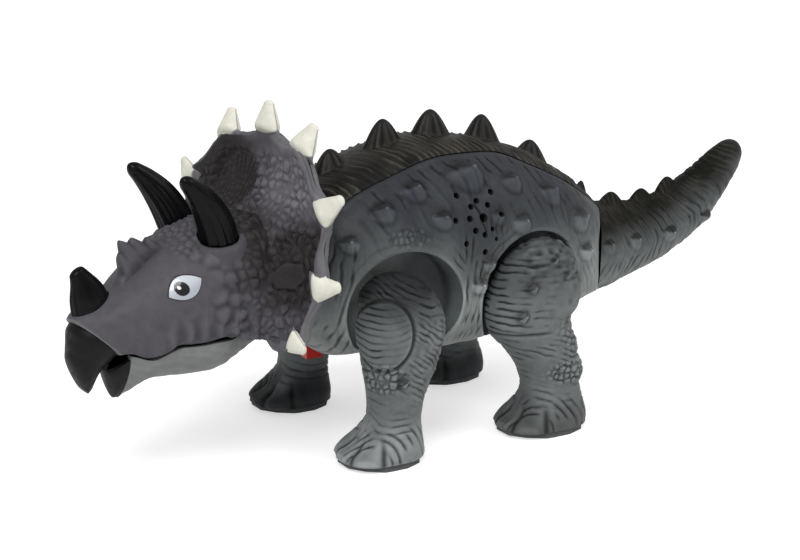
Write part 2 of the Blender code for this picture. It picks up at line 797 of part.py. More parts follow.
# Ribs and pillars are trimmed to the middle of the wall, so that none reaches through the skin.
rib_limit = cut_wells(body_solid(WALL / 2, 0.0, 0.0), WALL / 2)
cut(rib_limit, tail_seam_cutter(TAIL_SEAM_RADIUS - WALL / 2))

back_cover = cut(cover_skin(), body_solid(WALL, WALL, CUTTER_OVERRUN), tail_seam_cutter(TAIL_SEAM_RADIUS))
combine(back_cover, below_seam(GAP / 2), "DIFFERENCE", True)
for tip_x, tip_z, half_length, half_width in BACK_SPIKES:
    ridge = spline(BODY_SECTIONS, tip_x - SPIKE_LEAN)[0] - SPIKE_SINK
    join(back_cover, spike((tip_x - SPIKE_LEAN, 0, ridge), (tip_x, 0, tip_z), half_length, half_width))
keep(back_cover, "back_cover", "back_dark", body_frame)

flanks = combine(hollow, below_seam(-GAP / 2), "INTERSECT", True)
cell_space = CELL_LENGTH + CELL_BUTTON_LENGTH + 2 * GAP
bay_rear = BAY_FRONT + cell_space + 2 * BAY_WALL
door_screw_x = bay_rear + DOOR_SCREW_SETBACK
door_rear = door_screw_x + DOOR_REAR_MARGIN
door_zone = box(DOOR_FRONT, door_rear, -DOOR_HALF_WIDTH, DOOR_HALF_WIDTH, -FAR, BAY_BOTTOM)
battery_door = common(copy(flanks), door_zone)
door_bottom = spline(BODY_SECTIONS, door_screw_x)[1]
door_ledge = door_bottom + WALL * DOOR_SCREW_LEDGE_SHARE
cut(battery_door, post(door_screw_x, 0, -FAR, FAR, SCREW_RADIUS + GAP, SMALL_STEPS))
cut(battery_door, post(door_screw_x, 0, -FAR, door_ledge, SCREW_HEAD_RADIUS + GAP, SMALL_STEPS))
door_frame = joint_frame("battery_door_frame", (0.0, 0.0, door_bottom), body_frame)
keep(battery_door, "battery_door", "flank_grey", door_frame, (0.0, 0.0, door_bottom))
door_half = DOOR_HALF_WIDTH + GAP
cut(flanks, box(DOOR_FRONT - GAP, door_rear + GAP, -door_half, door_half, -FAR, BAY_BOTTOM))
door_screw_head = door_ledge - SCREW_HEAD_HEIGHT
door_screw = post(door_screw_x, 0, door_screw_head, door_ledge - GAP, SCREW_HEAD_RADIUS, SMALL_STEPS)
join(door_screw, post(door_screw_x, 0, door_bottom, door_bottom + SCREW_DEPTH, SCREW_RADIUS, SMALL_STEPS))
keep(door_screw, "battery_door_screw", "steel", door_frame, (0.0, 0.0, door_bottom))

switch_bottom = spline(BODY_SECTIONS, SWITCH_X)[1]
cut(
    flanks,
    box(
        SWITCH_X - SWITCH_HALF_LENGTH - GAP,
        SWITCH_X + SWITCH_HALF_LENGTH + SWITCH_TRAVEL + GAP,
        -SWITCH_HALF_WIDTH - GAP,
        SWITCH_HALF_WIDTH + GAP,
        -FAR,
        switch_bottom + SWITCH_SLOT_HEIGHT,
    ),
)
for x, z in ((FRONT_HIP_X, FRONT_HIP_Z), (HIND_HIP_X, HIND_HIP_Z)):
    reach = WELL_FLOOR + WALL
    cut(flanks, cross_bar(x, z, -reach, reach, HIP_SHAFT_RADIUS + SHAFT_CLEARANCE))

body_front = BODY_SECTIONS[0][0]
neck_slot = box(
    body_front - CUTTER_OVERRUN,
    body_front + CUTTER_OVERRUN / 2,
    -NECK_SLOT_HALF_WIDTH,
    NECK_SLOT_HALF_WIDTH,
    NECK_ARM_BOTTOM - NECK_SLOT_MARGIN,
    NECK_ARM_TOP + NECK_SLOT_MARGIN,
)
cut(flanks, neck_slot)

shells = {}
for side in (LEFT, RIGHT):
    shells[side] = common(copy(flanks), box(-FAR, FAR, side * GAP / 2, side * FAR, -FAR, FAR))


def add_rib(side, x0, x1, reach, z0, z1):
    """A flat shelf on one shell, from its wall to the given reach across the middle."""
    shelf = box(x0, x1, side * FAR, reach, z0, z1)
    join(shells[side], common(shelf, copy(rib_limit)))


for x, bottom, top, radius in (
    (NECK_X, NECK_PIN_BOTTOM, NECK_PIN_TOP, NECK_PIN_RADIUS),
    (TAIL_PIVOT_X, TAIL_PIN_BOTTOM, TAIL_PIN_TOP, TAIL_PIN_RADIUS),
):
    reach = radius + RIB_MARGIN
    add_rib(LEFT, x - reach, x + reach, reach, bottom, bottom + RIB_THICKNESS)
    add_rib(LEFT, x - reach, x + reach, reach, top - RIB_THICKNESS, top)
    cut(shells[LEFT], post(x, 0, bottom - WALL, top + WALL, radius + SHAFT_CLEARANCE))
ledge_x = (BOARD_FRONT + BOARD_REAR) / 2
for side in (LEFT, RIGHT):
    add_rib(
        side,
        ledge_x - LEDGE_WIDTH / 2,
        ledge_x + LEDGE_WIDTH / 2,
        side * (BOARD_HALF_WIDTH - LEDGE_DEPTH),
        BOARD_Z - LEDGE_DEPTH,
        BOARD_Z - GAP,
    )

for number, (x, z) in enumerate(PILLARS, 1):
    top, bottom, half_width = spline(BODY_SECTIONS, x)
    rise = abs(z - (top + bottom) / 2) / ((top - bottom) / 2)
    power = BODY_TOP_POWER if z > (top + bottom) / 2 else BODY_BOTTOM_POWER
    seat = half_width * (1 - rise ** power) ** (1 / power) - PILLAR_INSET
    for side in (LEFT, RIGHT):
        pillar = cross_bar(x, z, side * GAP / 2, side * FAR, PILLAR_RADIUS)
        join(shells[side], common(pillar, copy(rib_limit)))
    cut(shells[LEFT], cross_bar(x, z, -SCREW_DEPTH / 2 - GAP, FAR, SCREW_RADIUS + GAP, SMALL_STEPS))
    cut(shells[RIGHT], cross_bar(x, z, -FAR, FAR, SCREW_RADIUS + GAP, SMALL_STEPS))
    cut(shells[RIGHT], cross_bar(x, z, seat - GAP, FAR, SCREW_HEAD_RADIUS + GAP, SMALL_STEPS))
    keep(screw(x, z, seat), f"body_screw_{number}", "steel", body_frame)

speaker_rear = speaker_place(SPEAKER_INSET + SPEAKER_DEPTH)
cup = rod(
    speaker_place(SPEAKER_INSET - SPEAKER_CUP_LIP),
    speaker_rear,
    SPEAKER_RADIUS + GAP + SPEAKER_CUP_WALL,
    None,
    2 * SMALL_STEPS,
)
cup = common(cup, copy(rib_limit))
cup_space = rod(
    speaker_place(-CUTTER_OVERRUN),
    speaker_place(SPEAKER_INSET + SPEAKER_DEPTH + CUTTER_OVERRUN),
    SPEAKER_RADIUS + GAP,
    None,
    2 * SMALL_STEPS,
)
cut(cup, cup_space)
join(shells[LEFT], cup)
upwards = Vector((0.0, math.sin(SPEAKER_TILT), math.cos(SPEAKER_TILT)))
for along, up in GRILLE_HOLES:
    shift = Vector((along, 0.0, 0.0)) + upwards * up
    hole = rod(
        speaker_place(-CUTTER_OVERRUN) + shift,
        speaker_place(SPEAKER_INSET) + shift,
        GRILLE_HOLE_RADIUS,
        None,
        GRILLE_HOLE_STEPS,
    )
    cut(shells[LEFT], hole)
keep(shells[LEFT], "body_left_shell", "flank_grey", body_frame)
keep(shells[RIGHT], "body_right_shell", "flank_grey", body_frame)

# Sound, electronics, switch

speaker_front = speaker_place(SPEAKER_INSET)
speaker_waist = speaker_place(SPEAKER_INSET + SPEAKER_DEPTH / 2)
speaker = rod(speaker_front, speaker_waist, SPEAKER_RADIUS, None, 2 * SMALL_STEPS)
magnet_start = speaker_place(SPEAKER_INSET + SPEAKER_DEPTH / 4)
join(speaker, rod(magnet_start, speaker_rear, SPEAKER_RADIUS * SPEAKER_MAGNET_SHARE, None, 2 * SMALL_STEPS))
cone = rod(
    speaker_place(SPEAKER_INSET - GAP),
    speaker_place(SPEAKER_INSET + SPEAKER_DEPTH * SPEAKER_CONE_DEPTH_SHARE),
    SPEAKER_RADIUS * SPEAKER_CONE_SHARE,
    SPEAKER_RADIUS * SPEAKER_CONE_END_SHARE,
    2 * SMALL_STEPS,
)
cut(speaker, cone)
keep(speaker, "speaker", "inner_black", body_frame)

board_top = BOARD_Z + BOARD_THICKNESS
board = box(BOARD_FRONT, BOARD_REAR, -BOARD_HALF_WIDTH, BOARD_HALF_WIDTH, BOARD_Z, board_top)
keep(board, "circuit_board", "board_green", body_frame)

housing_front = SWITCH_X - SWITCH_HALF_LENGTH - SWITCH_HOUSING_MARGIN
housing_bottom = spline(BODY_SECTIONS, housing_front)[1] + WALL + SWITCH_HOUSING_LIFT
housing = box(
    housing_front,
    SWITCH_X + SWITCH_HALF_LENGTH + SWITCH_TRAVEL + SWITCH_HOUSING_MARGIN,
    -SWITCH_HALF_WIDTH - SWITCH_HOUSING_MARGIN,
    SWITCH_HALF_WIDTH + SWITCH_HOUSING_MARGIN,
    housing_bottom,
    housing_bottom + SWITCH_HOUSING_HEIGHT,
)
cut(
    housing,
    box(
        SWITCH_X - SWITCH_HALF_LENGTH - GAP,
        SWITCH_X + SWITCH_HALF_LENGTH + SWITCH_TRAVEL + GAP,
        -SWITCH_HALF_WIDTH - GAP,
        SWITCH_HALF_WIDTH + GAP,
        -FAR,
        housing_bottom + SWITCH_HOUSING_HEIGHT / 2,
    ),
)
keep(housing, "switch_housing", "inner_black", body_frame)
switch_frame = joint_frame("switch_frame", (SWITCH_X, 0.0, switch_bottom), body_frame)
knob = box(
    SWITCH_X - SWITCH_HALF_LENGTH,
    SWITCH_X + SWITCH_HALF_LENGTH,
    -SWITCH_HALF_WIDTH,
    SWITCH_HALF_WIDTH,
    switch_bottom - SWITCH_DROP,
    housing_bottom + SWITCH_HOUSING_HEIGHT / 2 - GAP,
)
keep(knob, "switch_knob", "switch_red", switch_frame, (SWITCH_X, 0.0, switch_bottom))

# Battery bay

cell_pitch = 2 * CELL_RADIUS + CELL_SPACING
bay_inner_half = cell_pitch + CELL_RADIUS + GAP
bay_half = bay_inner_half + BAY_WALL / 2
bay_ceiling = BAY_BOTTOM - CELL_FLOOR_SPACE + 2 * CELL_RADIUS + GAP
bay_top = bay_ceiling + BAY_WALL
bay = box(BAY_FRONT, bay_rear, -bay_half, bay_half, BAY_BOTTOM, bay_top)
boss_half = BAY_BOSS_HALF_WIDTH
join(bay, box(bay_rear - BAY_WALL / 2, door_screw_x + BAY_BOSS_MARGIN, -boss_half, boss_half, BAY_BOTTOM, bay_top))
cell_front = BAY_FRONT + BAY_WALL + GAP
bay_start = BAY_FRONT + BAY_WALL
cut(bay, box(bay_start, bay_start + cell_space, -bay_inner_half, bay_inner_half, -FAR, bay_ceiling))
cut(bay, post(door_screw_x, 0, -FAR, door_bottom + SCREW_DEPTH + GAP, SCREW_RADIUS + GAP, SMALL_STEPS))
keep(bay, "battery_box", "inner_black", body_frame)
cell_z = bay_ceiling - CELL_RADIUS - GAP
for number in (1, 2, 3):
    y = (number - 2) * cell_pitch
    cell_rear = cell_front + CELL_LENGTH
    cell = rod((cell_front, y, cell_z), (cell_rear, y, cell_z), CELL_RADIUS)
    button_start = (cell_front + CELL_LENGTH / 2, y, cell_z)
    button_end = (cell_rear + CELL_BUTTON_LENGTH, y, cell_z)
    button = rod(button_start, button_end, CELL_BUTTON_RADIUS, None, SMALL_STEPS)
    keep(join(cell, button), f"battery_{number}", "cell_label", body_frame)

# Drive

reduction = GEAR_MODULE * (PINION_TEETH + WHEEL_TEETH) / 2
compound_x = CRANK_X + reduction * math.cos(COMPOUND_ANGLE)
compound_z = CRANK_Z + reduction * math.sin(COMPOUND_ANGLE)
motor_x = compound_x + reduction * math.cos(MOTOR_ANGLE)
motor_z = compound_z + reduction * math.sin(MOTOR_ANGLE)


def gear(x, z, y0, y1, teeth, phase):
    """A spur gear across the toy, one tooth's middle at the phase angle."""
    pitch_radius = GEAR_MODULE * teeth / 2
    tip = pitch_radius + GEAR_MODULE * TOOTH_DEPTH_SHARE
    root = pitch_radius - GEAR_MODULE * TOOTH_ROOT_SHARE
    step = 2 * math.pi / teeth
    outline = []
    for k in range(teeth):
        middle = phase + k * step
        for offset, radius in (
            (-0.5 * TOOTH_SHARE - TOOTH_FLANK_SHARE, root),
            (-0.25 * TOOTH_SHARE, tip),
            (0.25 * TOOTH_SHARE, tip),
            (0.5 * TOOTH_SHARE + TOOTH_FLANK_SHARE, root),
        ):
            angle = middle + offset * step
            outline.append((x + radius * math.cos(angle), z + radius * math.sin(angle)))
    return loft([[(px, y, pz) for px, pz in outline] for y in (y0, y1)], "gear")


plate_bottom = bay_top + GAP
for side, name in ((LEFT, "left"), (RIGHT, "right")):
    plate_far = side * (PLATE_Y + PLATE_THICKNESS)
    plate = box(PLATE_FRONT, PLATE_REAR, side * PLATE_Y, plate_far, plate_bottom, PLATE_TOP)
    for x, z, radius in (
        (CRANK_X, CRANK_Z, CRANK_SHAFT_RADIUS),
        (compound_x, compound_z, COMPOUND_SHAFT_RADIUS),
    ):
        cut(plate, cross_bar(x, z, -FAR, FAR, radius + SHAFT_CLEARANCE, SMALL_STEPS))
    keep(plate, f"gearbox_plate_{name}", "inner_black", body_frame)

motor_rear = -PLATE_Y + GAP
motor_front = motor_rear + MOTOR_LENGTH
motor = cross_bar(motor_x, motor_z, motor_rear, motor_front, MOTOR_RADIUS)
keep(motor, "motor", "steel", body_frame)

# Meshing gears: a tooth of one faces a gap of the other on their line of centres.
crank_phase = COMPOUND_ANGLE
compound_small_phase = COMPOUND_ANGLE + math.pi + math.pi / PINION_TEETH
compound_big_phase = MOTOR_ANGLE
pinion_phase = MOTOR_ANGLE + math.pi + math.pi / PINION_TEETH

crank_frame = joint_frame("crank_frame", (CRANK_X, 0.0, CRANK_Z), body_frame)
crank_end = CRANK_ARM_Y + CRANK_ARM_THICKNESS
crank_wheel = gear(CRANK_X, CRANK_Z, CRANK_WHEEL_Y, CRANK_WHEEL_Y + WHEEL_WIDTH, WHEEL_TEETH, crank_phase)
join(crank_wheel, cross_bar(CRANK_X, CRANK_Z, -crank_end, crank_end, CRANK_SHAFT_RADIUS, SMALL_STEPS))
keep(crank_wheel, "crank_gear", "gear_white", crank_frame, (CRANK_X, 0.0, CRANK_Z))
for side, name in ((LEFT, "left"), (RIGHT, "right")):
    arm = cross_bar(CRANK_X, CRANK_Z, side * CRANK_ARM_Y, side * crank_end, CRANK_ARM_RADIUS)
    pin_x = CRANK_X + side * CRANK_THROW
    pin_start = side * (CRANK_ARM_Y + GAP)
    pin_stop = side * (ROCKER_PLATE_Y - GAP)
    join(arm, cross_bar(pin_x, CRANK_Z, pin_start, pin_stop, CRANK_PIN_RADIUS, SMALL_STEPS))
    arm_hole = CRANK_SHAFT_RADIUS + SHAFT_CLEARANCE / 2
    cut(arm, cross_bar(CRANK_X, CRANK_Z, -FAR, FAR, arm_hole, SMALL_STEPS))
    keep(arm, f"crank_arm_{name}", "gear_white", crank_frame, (CRANK_X, 0.0, CRANK_Z))

compound_frame = joint_frame("compound_frame", (compound_x, 0.0, compound_z), body_frame)
compound_end = PLATE_Y + PLATE_THICKNESS
compound_far = COMPOUND_WHEEL_Y + WHEEL_WIDTH
compound = gear(compound_x, compound_z, COMPOUND_WHEEL_Y, compound_far, WHEEL_TEETH, compound_big_phase)
small_gear = gear(
    compound_x, compound_z, CRANK_WHEEL_Y - GAP, COMPOUND_WHEEL_Y + GAP, PINION_TEETH, compound_small_phase
)
compound_shaft = cross_bar(
    compound_x, compound_z, -compound_end, compound_end, COMPOUND_SHAFT_RADIUS, SMALL_STEPS
)
join(compound, small_gear, compound_shaft)
keep(compound, "compound_gear", "gear_white", compound_frame, (compound_x, 0.0, compound_z))

motor_frame = joint_frame("motor_frame", (motor_x, 0.0, motor_z), body_frame)
pinion = gear(motor_x, motor_z, COMPOUND_WHEEL_Y - GAP, compound_far + GAP, PINION_TEETH, pinion_phase)
join(pinion, cross_bar(motor_x, motor_z, motor_front + GAP, compound_far, MOTOR_SHAFT_RADIUS, SMALL_STEPS))
keep(pinion, "motor_pinion", "gear_white", motor_frame, (motor_x, 0.0, motor_z))

# Legs


def leg_ring(rows, z, side, inset, toes):
    """One level of a leg, across its middle plane; toes bulge from the front of a foot."""
    middle, half_length, half_thickness = spline(rows, z)
    ring = []
    for k in range(LEG_AROUND):
        angle = 2 * math.pi * (k + 0.5) / LEG_AROUND
        c = math.cos(angle)
        s = math.sin(angle)
        swell = 1.0
        if toes > 0 and c < -TOE_SPREAD:
            swell += toes * math.cos(TOE_COUNT * (angle - math.pi)) * (-c - TOE_SPREAD)
        x = middle + math.copysign(abs(c) ** (2 / LEG_POWER), c) * (half_length - inset) * swell
        y = math.copysign(abs(s) ** (2 / LEG_POWER), s) * (half_thickness - inset) * swell
        ring.append((x, side * LEG_MIDDLE + side * y, z))
    return ring


def leg_solid(rows, side, inset):
    rings = []
    for row in rows:
        z = row[0]
        toes = TOE_DEPTH * max(0.0, 1.0 - z / TOE_HEIGHT)
        rings.append(leg_ring(rows, z, side, inset, toes))
    return rings


legs = {}
for end, rows, hip_x, hip_z in (
    ("front", FRONT_LEG, FRONT_HIP_X, FRONT_HIP_Z),
    ("hind", HIND_LEG, HIND_HIP_X, HIND_HIP_Z),
):
    for side, hand in ((LEFT, "left"), (RIGHT, "right")):
        name = f"{end}_{hand}"
        hip = (hip_x, side * LEG_MIDDLE, hip_z)
        frame = joint_frame(f"{name}_hip", hip, body_frame)
        legs[name] = frame
        skin = loft(leg_solid(rows, side, 0.0), "leg")
        cavity_rings = leg_solid(rows, side, WALL)[:-2]
        cavity_rings[0] = [(x, y, z - WALL) for x, y, z in cavity_rings[0]]
        whole = cut(copy(skin), loft(cavity_rings, "cavity"))
        inward = box(-FAR, FAR, side * (LEG_MIDDLE - GAP / 2), -side * FAR, -FAR, FAR)
        outward = box(-FAR, FAR, side * (LEG_MIDDLE + GAP / 2), side * FAR, -FAR, FAR)
        inner = common(copy(whole), inward)
        hub = cross_bar(hip_x, hip_z, side * (LEG_MIDDLE - GAP), side * HIP_HUB_START, HIP_HUB_RADIUS)
        join(inner, common(hub, skin))
        cut(inner, cross_bar(hip_x, hip_z, -FAR, FAR, HIP_SHAFT_RADIUS + SHAFT_CLEARANCE))
        keep(inner, f"{name}_leg_inner", "leg_grey", frame, hip)
        keep(common(whole, outward), f"{name}_leg_outer", "leg_grey", frame, hip)

        foot = leg_ring(rows, rows[0][0], side, SOLE_INSET, TOE_DEPTH)
        toe_x = min(point[0] for point in foot)
        heel_x = max(point[0] for point in foot)
        sole_rings = []
        for height in (0.0, SOLE_THICKNESS):
            sole_rings.append([(x, y, height) for x, y, z in foot])
        lift_x = toe_x + (heel_x - toe_x) * SOLE_LIFT_SHARE
        slope = SOLE_TOE_LIFT / (lift_x - toe_x)
        ahead_x = toe_x - CUTTER_OVERRUN
        wedge = [(lift_x, 0.0), (ahead_x, slope * (lift_x - ahead_x)), (ahead_x, -CUTTER_OVERRUN)]
        wedge_rings = []
        for y in (-FAR, FAR):
            wedge_rings.append([(x, y, z) for x, z in wedge])
        sole = cut(loft(sole_rings, "sole"), loft(wedge_rings, "toe_lift"))
        keep(sole, f"{name}_sole", "sole_dark", frame, hip)

        lever = -1.0 if end == "front" else 1.0
        plate_in = side * ROCKER_PLATE_Y
        plate_out = side * (ROCKER_PLATE_Y + ROCKER_PLATE)
        rocker = cross_bar(hip_x, hip_z, plate_in, plate_out, ROCKER_HUB_RADIUS)
        shaft_end = side * (LEG_MIDDLE - 2 * GAP)
        join(rocker, cross_bar(hip_x, hip_z, side * (ROCKER_PLATE_Y + GAP), shaft_end, HIP_SHAFT_RADIUS))
        pin_z = hip_z + lever * LINK_LEVER
        if end == "hind":
            half = ROCKER_WIDTH / 2
            reach = box(hip_x - half, hip_x + half, plate_in, plate_out, hip_z, hip_z + ROCKER_REACH)
            slot_z = CRANK_Z - ROCKER_SLOT_LENGTH / 2
            half = ROCKER_SLOT_WIDTH / 2
            cut(reach, box(hip_x - half, hip_x + half, -FAR, FAR, slot_z, slot_z + ROCKER_SLOT_LENGTH))
        else:
            half = LINK_EYE_RADIUS
            reach = box(hip_x - half, hip_x + half, plate_in, plate_out, pin_z - half, hip_z)
        join(rocker, reach)
        pin_start = side * (ROCKER_PLATE_Y + ROCKER_PLATE / 2)
        pin_stop = side * (LINK_Y - GAP)
        join(rocker, cross_bar(hip_x, pin_z, pin_start, pin_stop, LINK_PIN_RADIUS, SMALL_STEPS))
        keep(rocker, f"{name}_rocker", "gear_white", frame, hip)

for side, hand in ((LEFT, "left"), (RIGHT, "right")):
    rear_pin = Vector((HIND_HIP_X, 0.0, HIND_HIP_Z + LINK_LEVER))
    front_pin = Vector((FRONT_HIP_X, 0.0, FRONT_HIP_Z - LINK_LEVER))
    y0 = side * LINK_Y
    y1 = side * (LINK_Y + LINK_THICKNESS)
    along = (rear_pin - front_pin).normalized()
    up = Vector((-along.z, 0.0, along.x)) * LINK_WIDTH / 2
    corners = [front_pin - up, rear_pin - up, rear_pin + up, front_pin + up]
    link = loft([[(p.x, y, p.z) for p in corners] for y in (y0, y1)], "link")
    for pin in (rear_pin, front_pin):
        join(link, cross_bar(pin.x, pin.z, y0, y1, LINK_EYE_RADIUS))
    for pin, play in ((rear_pin, SHAFT_CLEARANCE), (front_pin, 2 * SHAFT_CLEARANCE)):
        cut(link, cross_bar(pin.x, pin.z, -FAR, FAR, LINK_PIN_RADIUS + play, SMALL_STEPS))
    place = (0.0, -side * (LEG_MIDDLE - LINK_Y), LINK_LEVER)
    frame = joint_frame(f"link_{hand}_frame", place, legs[f"hind_{hand}"])
    keep(link, f"link_rod_{hand}", "gear_white", frame, (rear_pin.x, side * LINK_Y, rear_pin.z))

# Head, measured from the neck axis at ground height

head_frame = joint_frame("head_frame", (NECK_X, 0.0, 0.0), body_frame, HEAD_YAW_AT_REST)


def head_ring(x, inset, floor_drop):
    top, bottom, half_width = spline(HEAD_SECTIONS, x)
    waist = bottom + HEAD_WAIST_SHARE * (top - bottom)
    ring = []
    for side, height in oval(
        HEAD_AROUND,
        half_width - inset,
        top - waist - inset,
        waist - bottom + floor_drop,
        HEAD_TOP_POWER,
        HEAD_BOTTOM_POWER,
    ):
        ring.append((x, side, waist + height))
    return ring


def head_side(x, z):
    """Half width of the upper head at one place above its waist."""
    top, bottom, half_width = spline(HEAD_SECTIONS, x)
    waist = bottom + HEAD_WAIST_SHARE * (top - bottom)
    rise = (z - waist) / (top - waist)
    return half_width * (1 - rise ** HEAD_TOP_POWER) ** (1 / HEAD_TOP_POWER)


def frill_lines():
    """Rim and root points all the way round, from the left cheek over the top to the right one."""
    left = [((r[0], -r[1], r[2]), (r[3], -r[4], r[5])) for r in reversed(FRILL)]
    right = [((r[0], r[1], r[2]), (r[3], r[4], r[5])) for r in FRILL[1:]]
    return [(Vector(rim), Vector(root)) for rim, root in left + right]


def frill_point(rim, root, share):
    """A point of the dished front face between root and rim."""
    point = root.lerp(rim, share)
    point.x += FRILL_DISH * 4 * share * (1 - share)
    return point


def frill_sheet(near, far, front, back):
    """A dished sheet between two shares of the frill, its faces moved back by the two depths."""
    rings = []
    for rim, root in frill_lines():
        ring = []
        shares = stations(near, far, FRILL_STEPS + 1)
        for depth, row in ((front, shares), (back, reversed(shares))):
            for share in row:
                point = frill_point(rim, root, share)
                extra = depth(share)
                ring.append((point.x + extra, point.y, point.z))
        rings.append(ring)
    return loft(rings, "frill")


def bump(place, sizes, turn=None):
    """A low-count ball, stretched and turned into place."""
    built = bmesh.new()
    bmesh.ops.create_icosphere(built, subdivisions=1, radius=1.0)
    matrix = Matrix.Translation(place) @ (turn or Matrix()) @ Matrix.Diagonal((*sizes, 1))
    bmesh.ops.transform(built, matrix=matrix, verts=built.verts)
    return add_object("bump", built)


def brow_lip(side):
    """The raised collar round one brow horn's socket."""
    base, bend = (Vector((x, side * y, z)) for x, y, z in (BROW_HORN_BASE, BROW_HORN_BEND))
    rise = (bend - base).normalized()
    foot = base - rise * BROW_LIP_SINK
    return rod(foot, base + rise * BROW_LIP_RISE, BROW_LIP_FOOT_RADIUS, BROW_LIP_RADIUS, SMALL_STEPS)


def frill_facet(row, side):
    """Middle and outward direction of the frill's middle facet between two rows."""
    corners = []
    for rim, root in ((r[:3], r[3:]) for r in FRILL[row : row + 2]):
        rim, root = (Vector((x, side * y, z)) for x, y, z in (rim, root))
        corners += [frill_point(rim, root, 1 / FRILL_STEPS), frill_point(rim, root, 2 / FRILL_STEPS)]
    a, b, c, d = corners
    outward = (d - a).cross(c - b).normalized()
    return (a + b + c + d) / 4, outward * -math.copysign(1, outward.x)


def frill_plate(side):
    """The large scale in the lower part of the frill."""
    middle, outward = frill_facet(FRILL_PLATE_ROW, side)
    half = outward * FRILL_PLATE_HALF_HEIGHT
    return rod(middle - half, middle + half, FRILL_PLATE_RADIUS, FRILL_PLATE_TOP_RADIUS, FRILL_PLATE_SIDES)


def frill_hollow():
    """The shallow hollow in the frill's upper right, as a cutter."""
    middle, outward = frill_facet(FRILL_HOLLOW_ROW, RIGHT)
    place = middle + outward * (FRILL_HOLLOW_HALF_HEIGHT - FRILL_HOLLOW_DEPTH)
    turn = outward.to_track_quat("Z", "Y").to_matrix().to_4x4()
    return bump(place, (FRILL_HOLLOW_RADIUS, FRILL_HOLLOW_RADIUS, FRILL_HOLLOW_HALF_HEIGHT), turn)


def flat_spike(row, side):
    """A frill spike: a flattened cone from the rim."""
    base = Vector((row[0], side * row[1], row[2]))
    tip = Vector((row[3], side * row[4], row[5]))
    rise = (tip - base).normalized()
    across = rise.cross(Vector((1, 0, 0))).normalized()
    through = across.cross(rise)
    rings = []
    for share, size in FRILL_SPIKE_PROFILE:
        middle = base.lerp(tip, share)
        ring = []
        for k in range(SMALL_STEPS):
            angle = 2 * math.pi * k / SMALL_STEPS
            ring.append(
                middle
                + across * math.cos(angle) * row[6] * size
                + through * math.sin(angle) * FRILL_SPIKE_HALF_DEPTH * size
            )
        rings.append(ring)
    return loft(rings, "spike")


def horn(start, bend, tip, first_radius, last_radius, grow, squash=1.0):
    """A bent blunt cone; grow makes the larger copy that cuts its socket."""
    start = Vector(start)
    bend = Vector(bend)
    tip = Vector(tip)
    rings = []
    for share in HORN_SHARES:
        middle = start * (1 - share) ** 2 + bend * 2 * share * (1 - share) + tip * share ** 2
        direction = ((bend - start) * (1 - share) + (tip - bend) * share).normalized()
        across = direction.cross(Vector((1, 0, 0))).normalized()
        other = direction.cross(across)
        radius = first_radius + (last_radius - first_radius) * share
        if share == HORN_SHARES[-1]:
            radius *= HORN_BLUNT_SHARE
        ring = []
        for k in range(HORN_STEPS):
            angle = 2 * math.pi * k / HORN_STEPS
            ring.append(
                middle
                + across * math.cos(angle) * (radius * squash + grow)
                + other * math.sin(angle) * (radius + grow)
            )
        if grow > 0 and share == HORN_SHARES[0]:
            ring = [point - direction * grow for point in ring]
        rings.append(ring)
    return loft(rings, "horn")


def nose_horn(grow):
    return horn(
        NOSE_HORN_BASE,
        NOSE_HORN_BEND,
        NOSE_HORN_TIP,
        NOSE_HORN_HALF_LENGTH,
        NOSE_HORN_TIP_HALF_LENGTH,
        grow,
        NOSE_HORN_HALF_WIDTH / NOSE_HORN_HALF_LENGTH,
    )


def brow_horn(side, grow):
    points = [(x, side * y, z) for x, y, z in (BROW_HORN_BASE, BROW_HORN_BEND, BROW_HORN_TIP)]
    return horn(*points, BROW_HORN_BASE_RADIUS, BROW_HORN_TIP_RADIUS, grow)


def eye(side, grow):
    """A lens lying in the cheek."""
    built = bmesh.new()
    bmesh.ops.create_uvsphere(built, u_segments=EYE_STEPS, v_segments=SMALL_STEPS, radius=1.0)
    size = Matrix.Diagonal((EYE_HALF_LENGTH + grow, EYE_HALF_DEPTH + grow, EYE_HALF_HEIGHT + grow, 1))
    turn = (
        Matrix.Rotation(-side * EYE_TURN, 4, "Z")
        @ Matrix.Rotation(side * EYE_ROLL, 4, "X")
        @ Matrix.Rotation(EYE_TILT, 4, "Y")
    )
    place = Matrix.Translation((EYE_X, side * head_side(EYE_X, EYE_Z), EYE_Z))
    bmesh.ops.transform(built, matrix=place @ turn @ size, verts=built.verts)
    return add_object("eye", built)


def beyond_plane(total, front):
    """The half space in front of or behind the plane where x + z is the given total."""
    middle = Vector((total / 2, 0, total / 2))
    along = Vector((1, 0, -1)).normalized() * FAR * 2
    away = Vector((-1, 0, -1)).normalized() * FAR * 2 * (1 if front else -1)
    rings = []
    for y in (-FAR, FAR):
        across = Vector((0, y, 0))
        near_low = middle - along + across
        near_high = middle + along + across
        rings.append([near_low, near_high, near_high + away, near_low + away])
    return loft(rings, "half")


head_rows = stations(HEAD_SECTIONS[0][0], HEAD_SECTIONS[-1][0], HEAD_STATIONS)
head = loft([head_ring(x, 0.0, 0.0) for x in head_rows], "head")
join(head, frill_sheet(0.0, 1.0, lambda share: 0.0, lambda share: FRILL_THICKNESS))
for row in FRILL_SPIKES:
    for side in (LEFT, RIGHT) if row[1] > 0 else (RIGHT,):
        join(head, flat_spike(row, side))
for x, z, radius in CREST:
    join(head, bump((x, 0, z), (radius, CREST_HALF_WIDTH, radius)))
for side in (LEFT, RIGHT):
    join(head, brow_lip(side), frill_plate(side))
    for x, y, z, radius in CHEEK_BUMPS:
        join(head, bump((x, side * y, z), (radius, CHEEK_BUMP_HEIGHT, radius)))
cut(head, frill_hollow())
cavity_rows = stations(HEAD_FLOOR_FRONT, HEAD_SECTIONS[-1][0] + WALL, HEAD_CAVITY_STATIONS)
cut(head, loft([head_ring(x, WALL, HEAD_FLOOR_DROP) for x in cavity_rows], "cavity"))
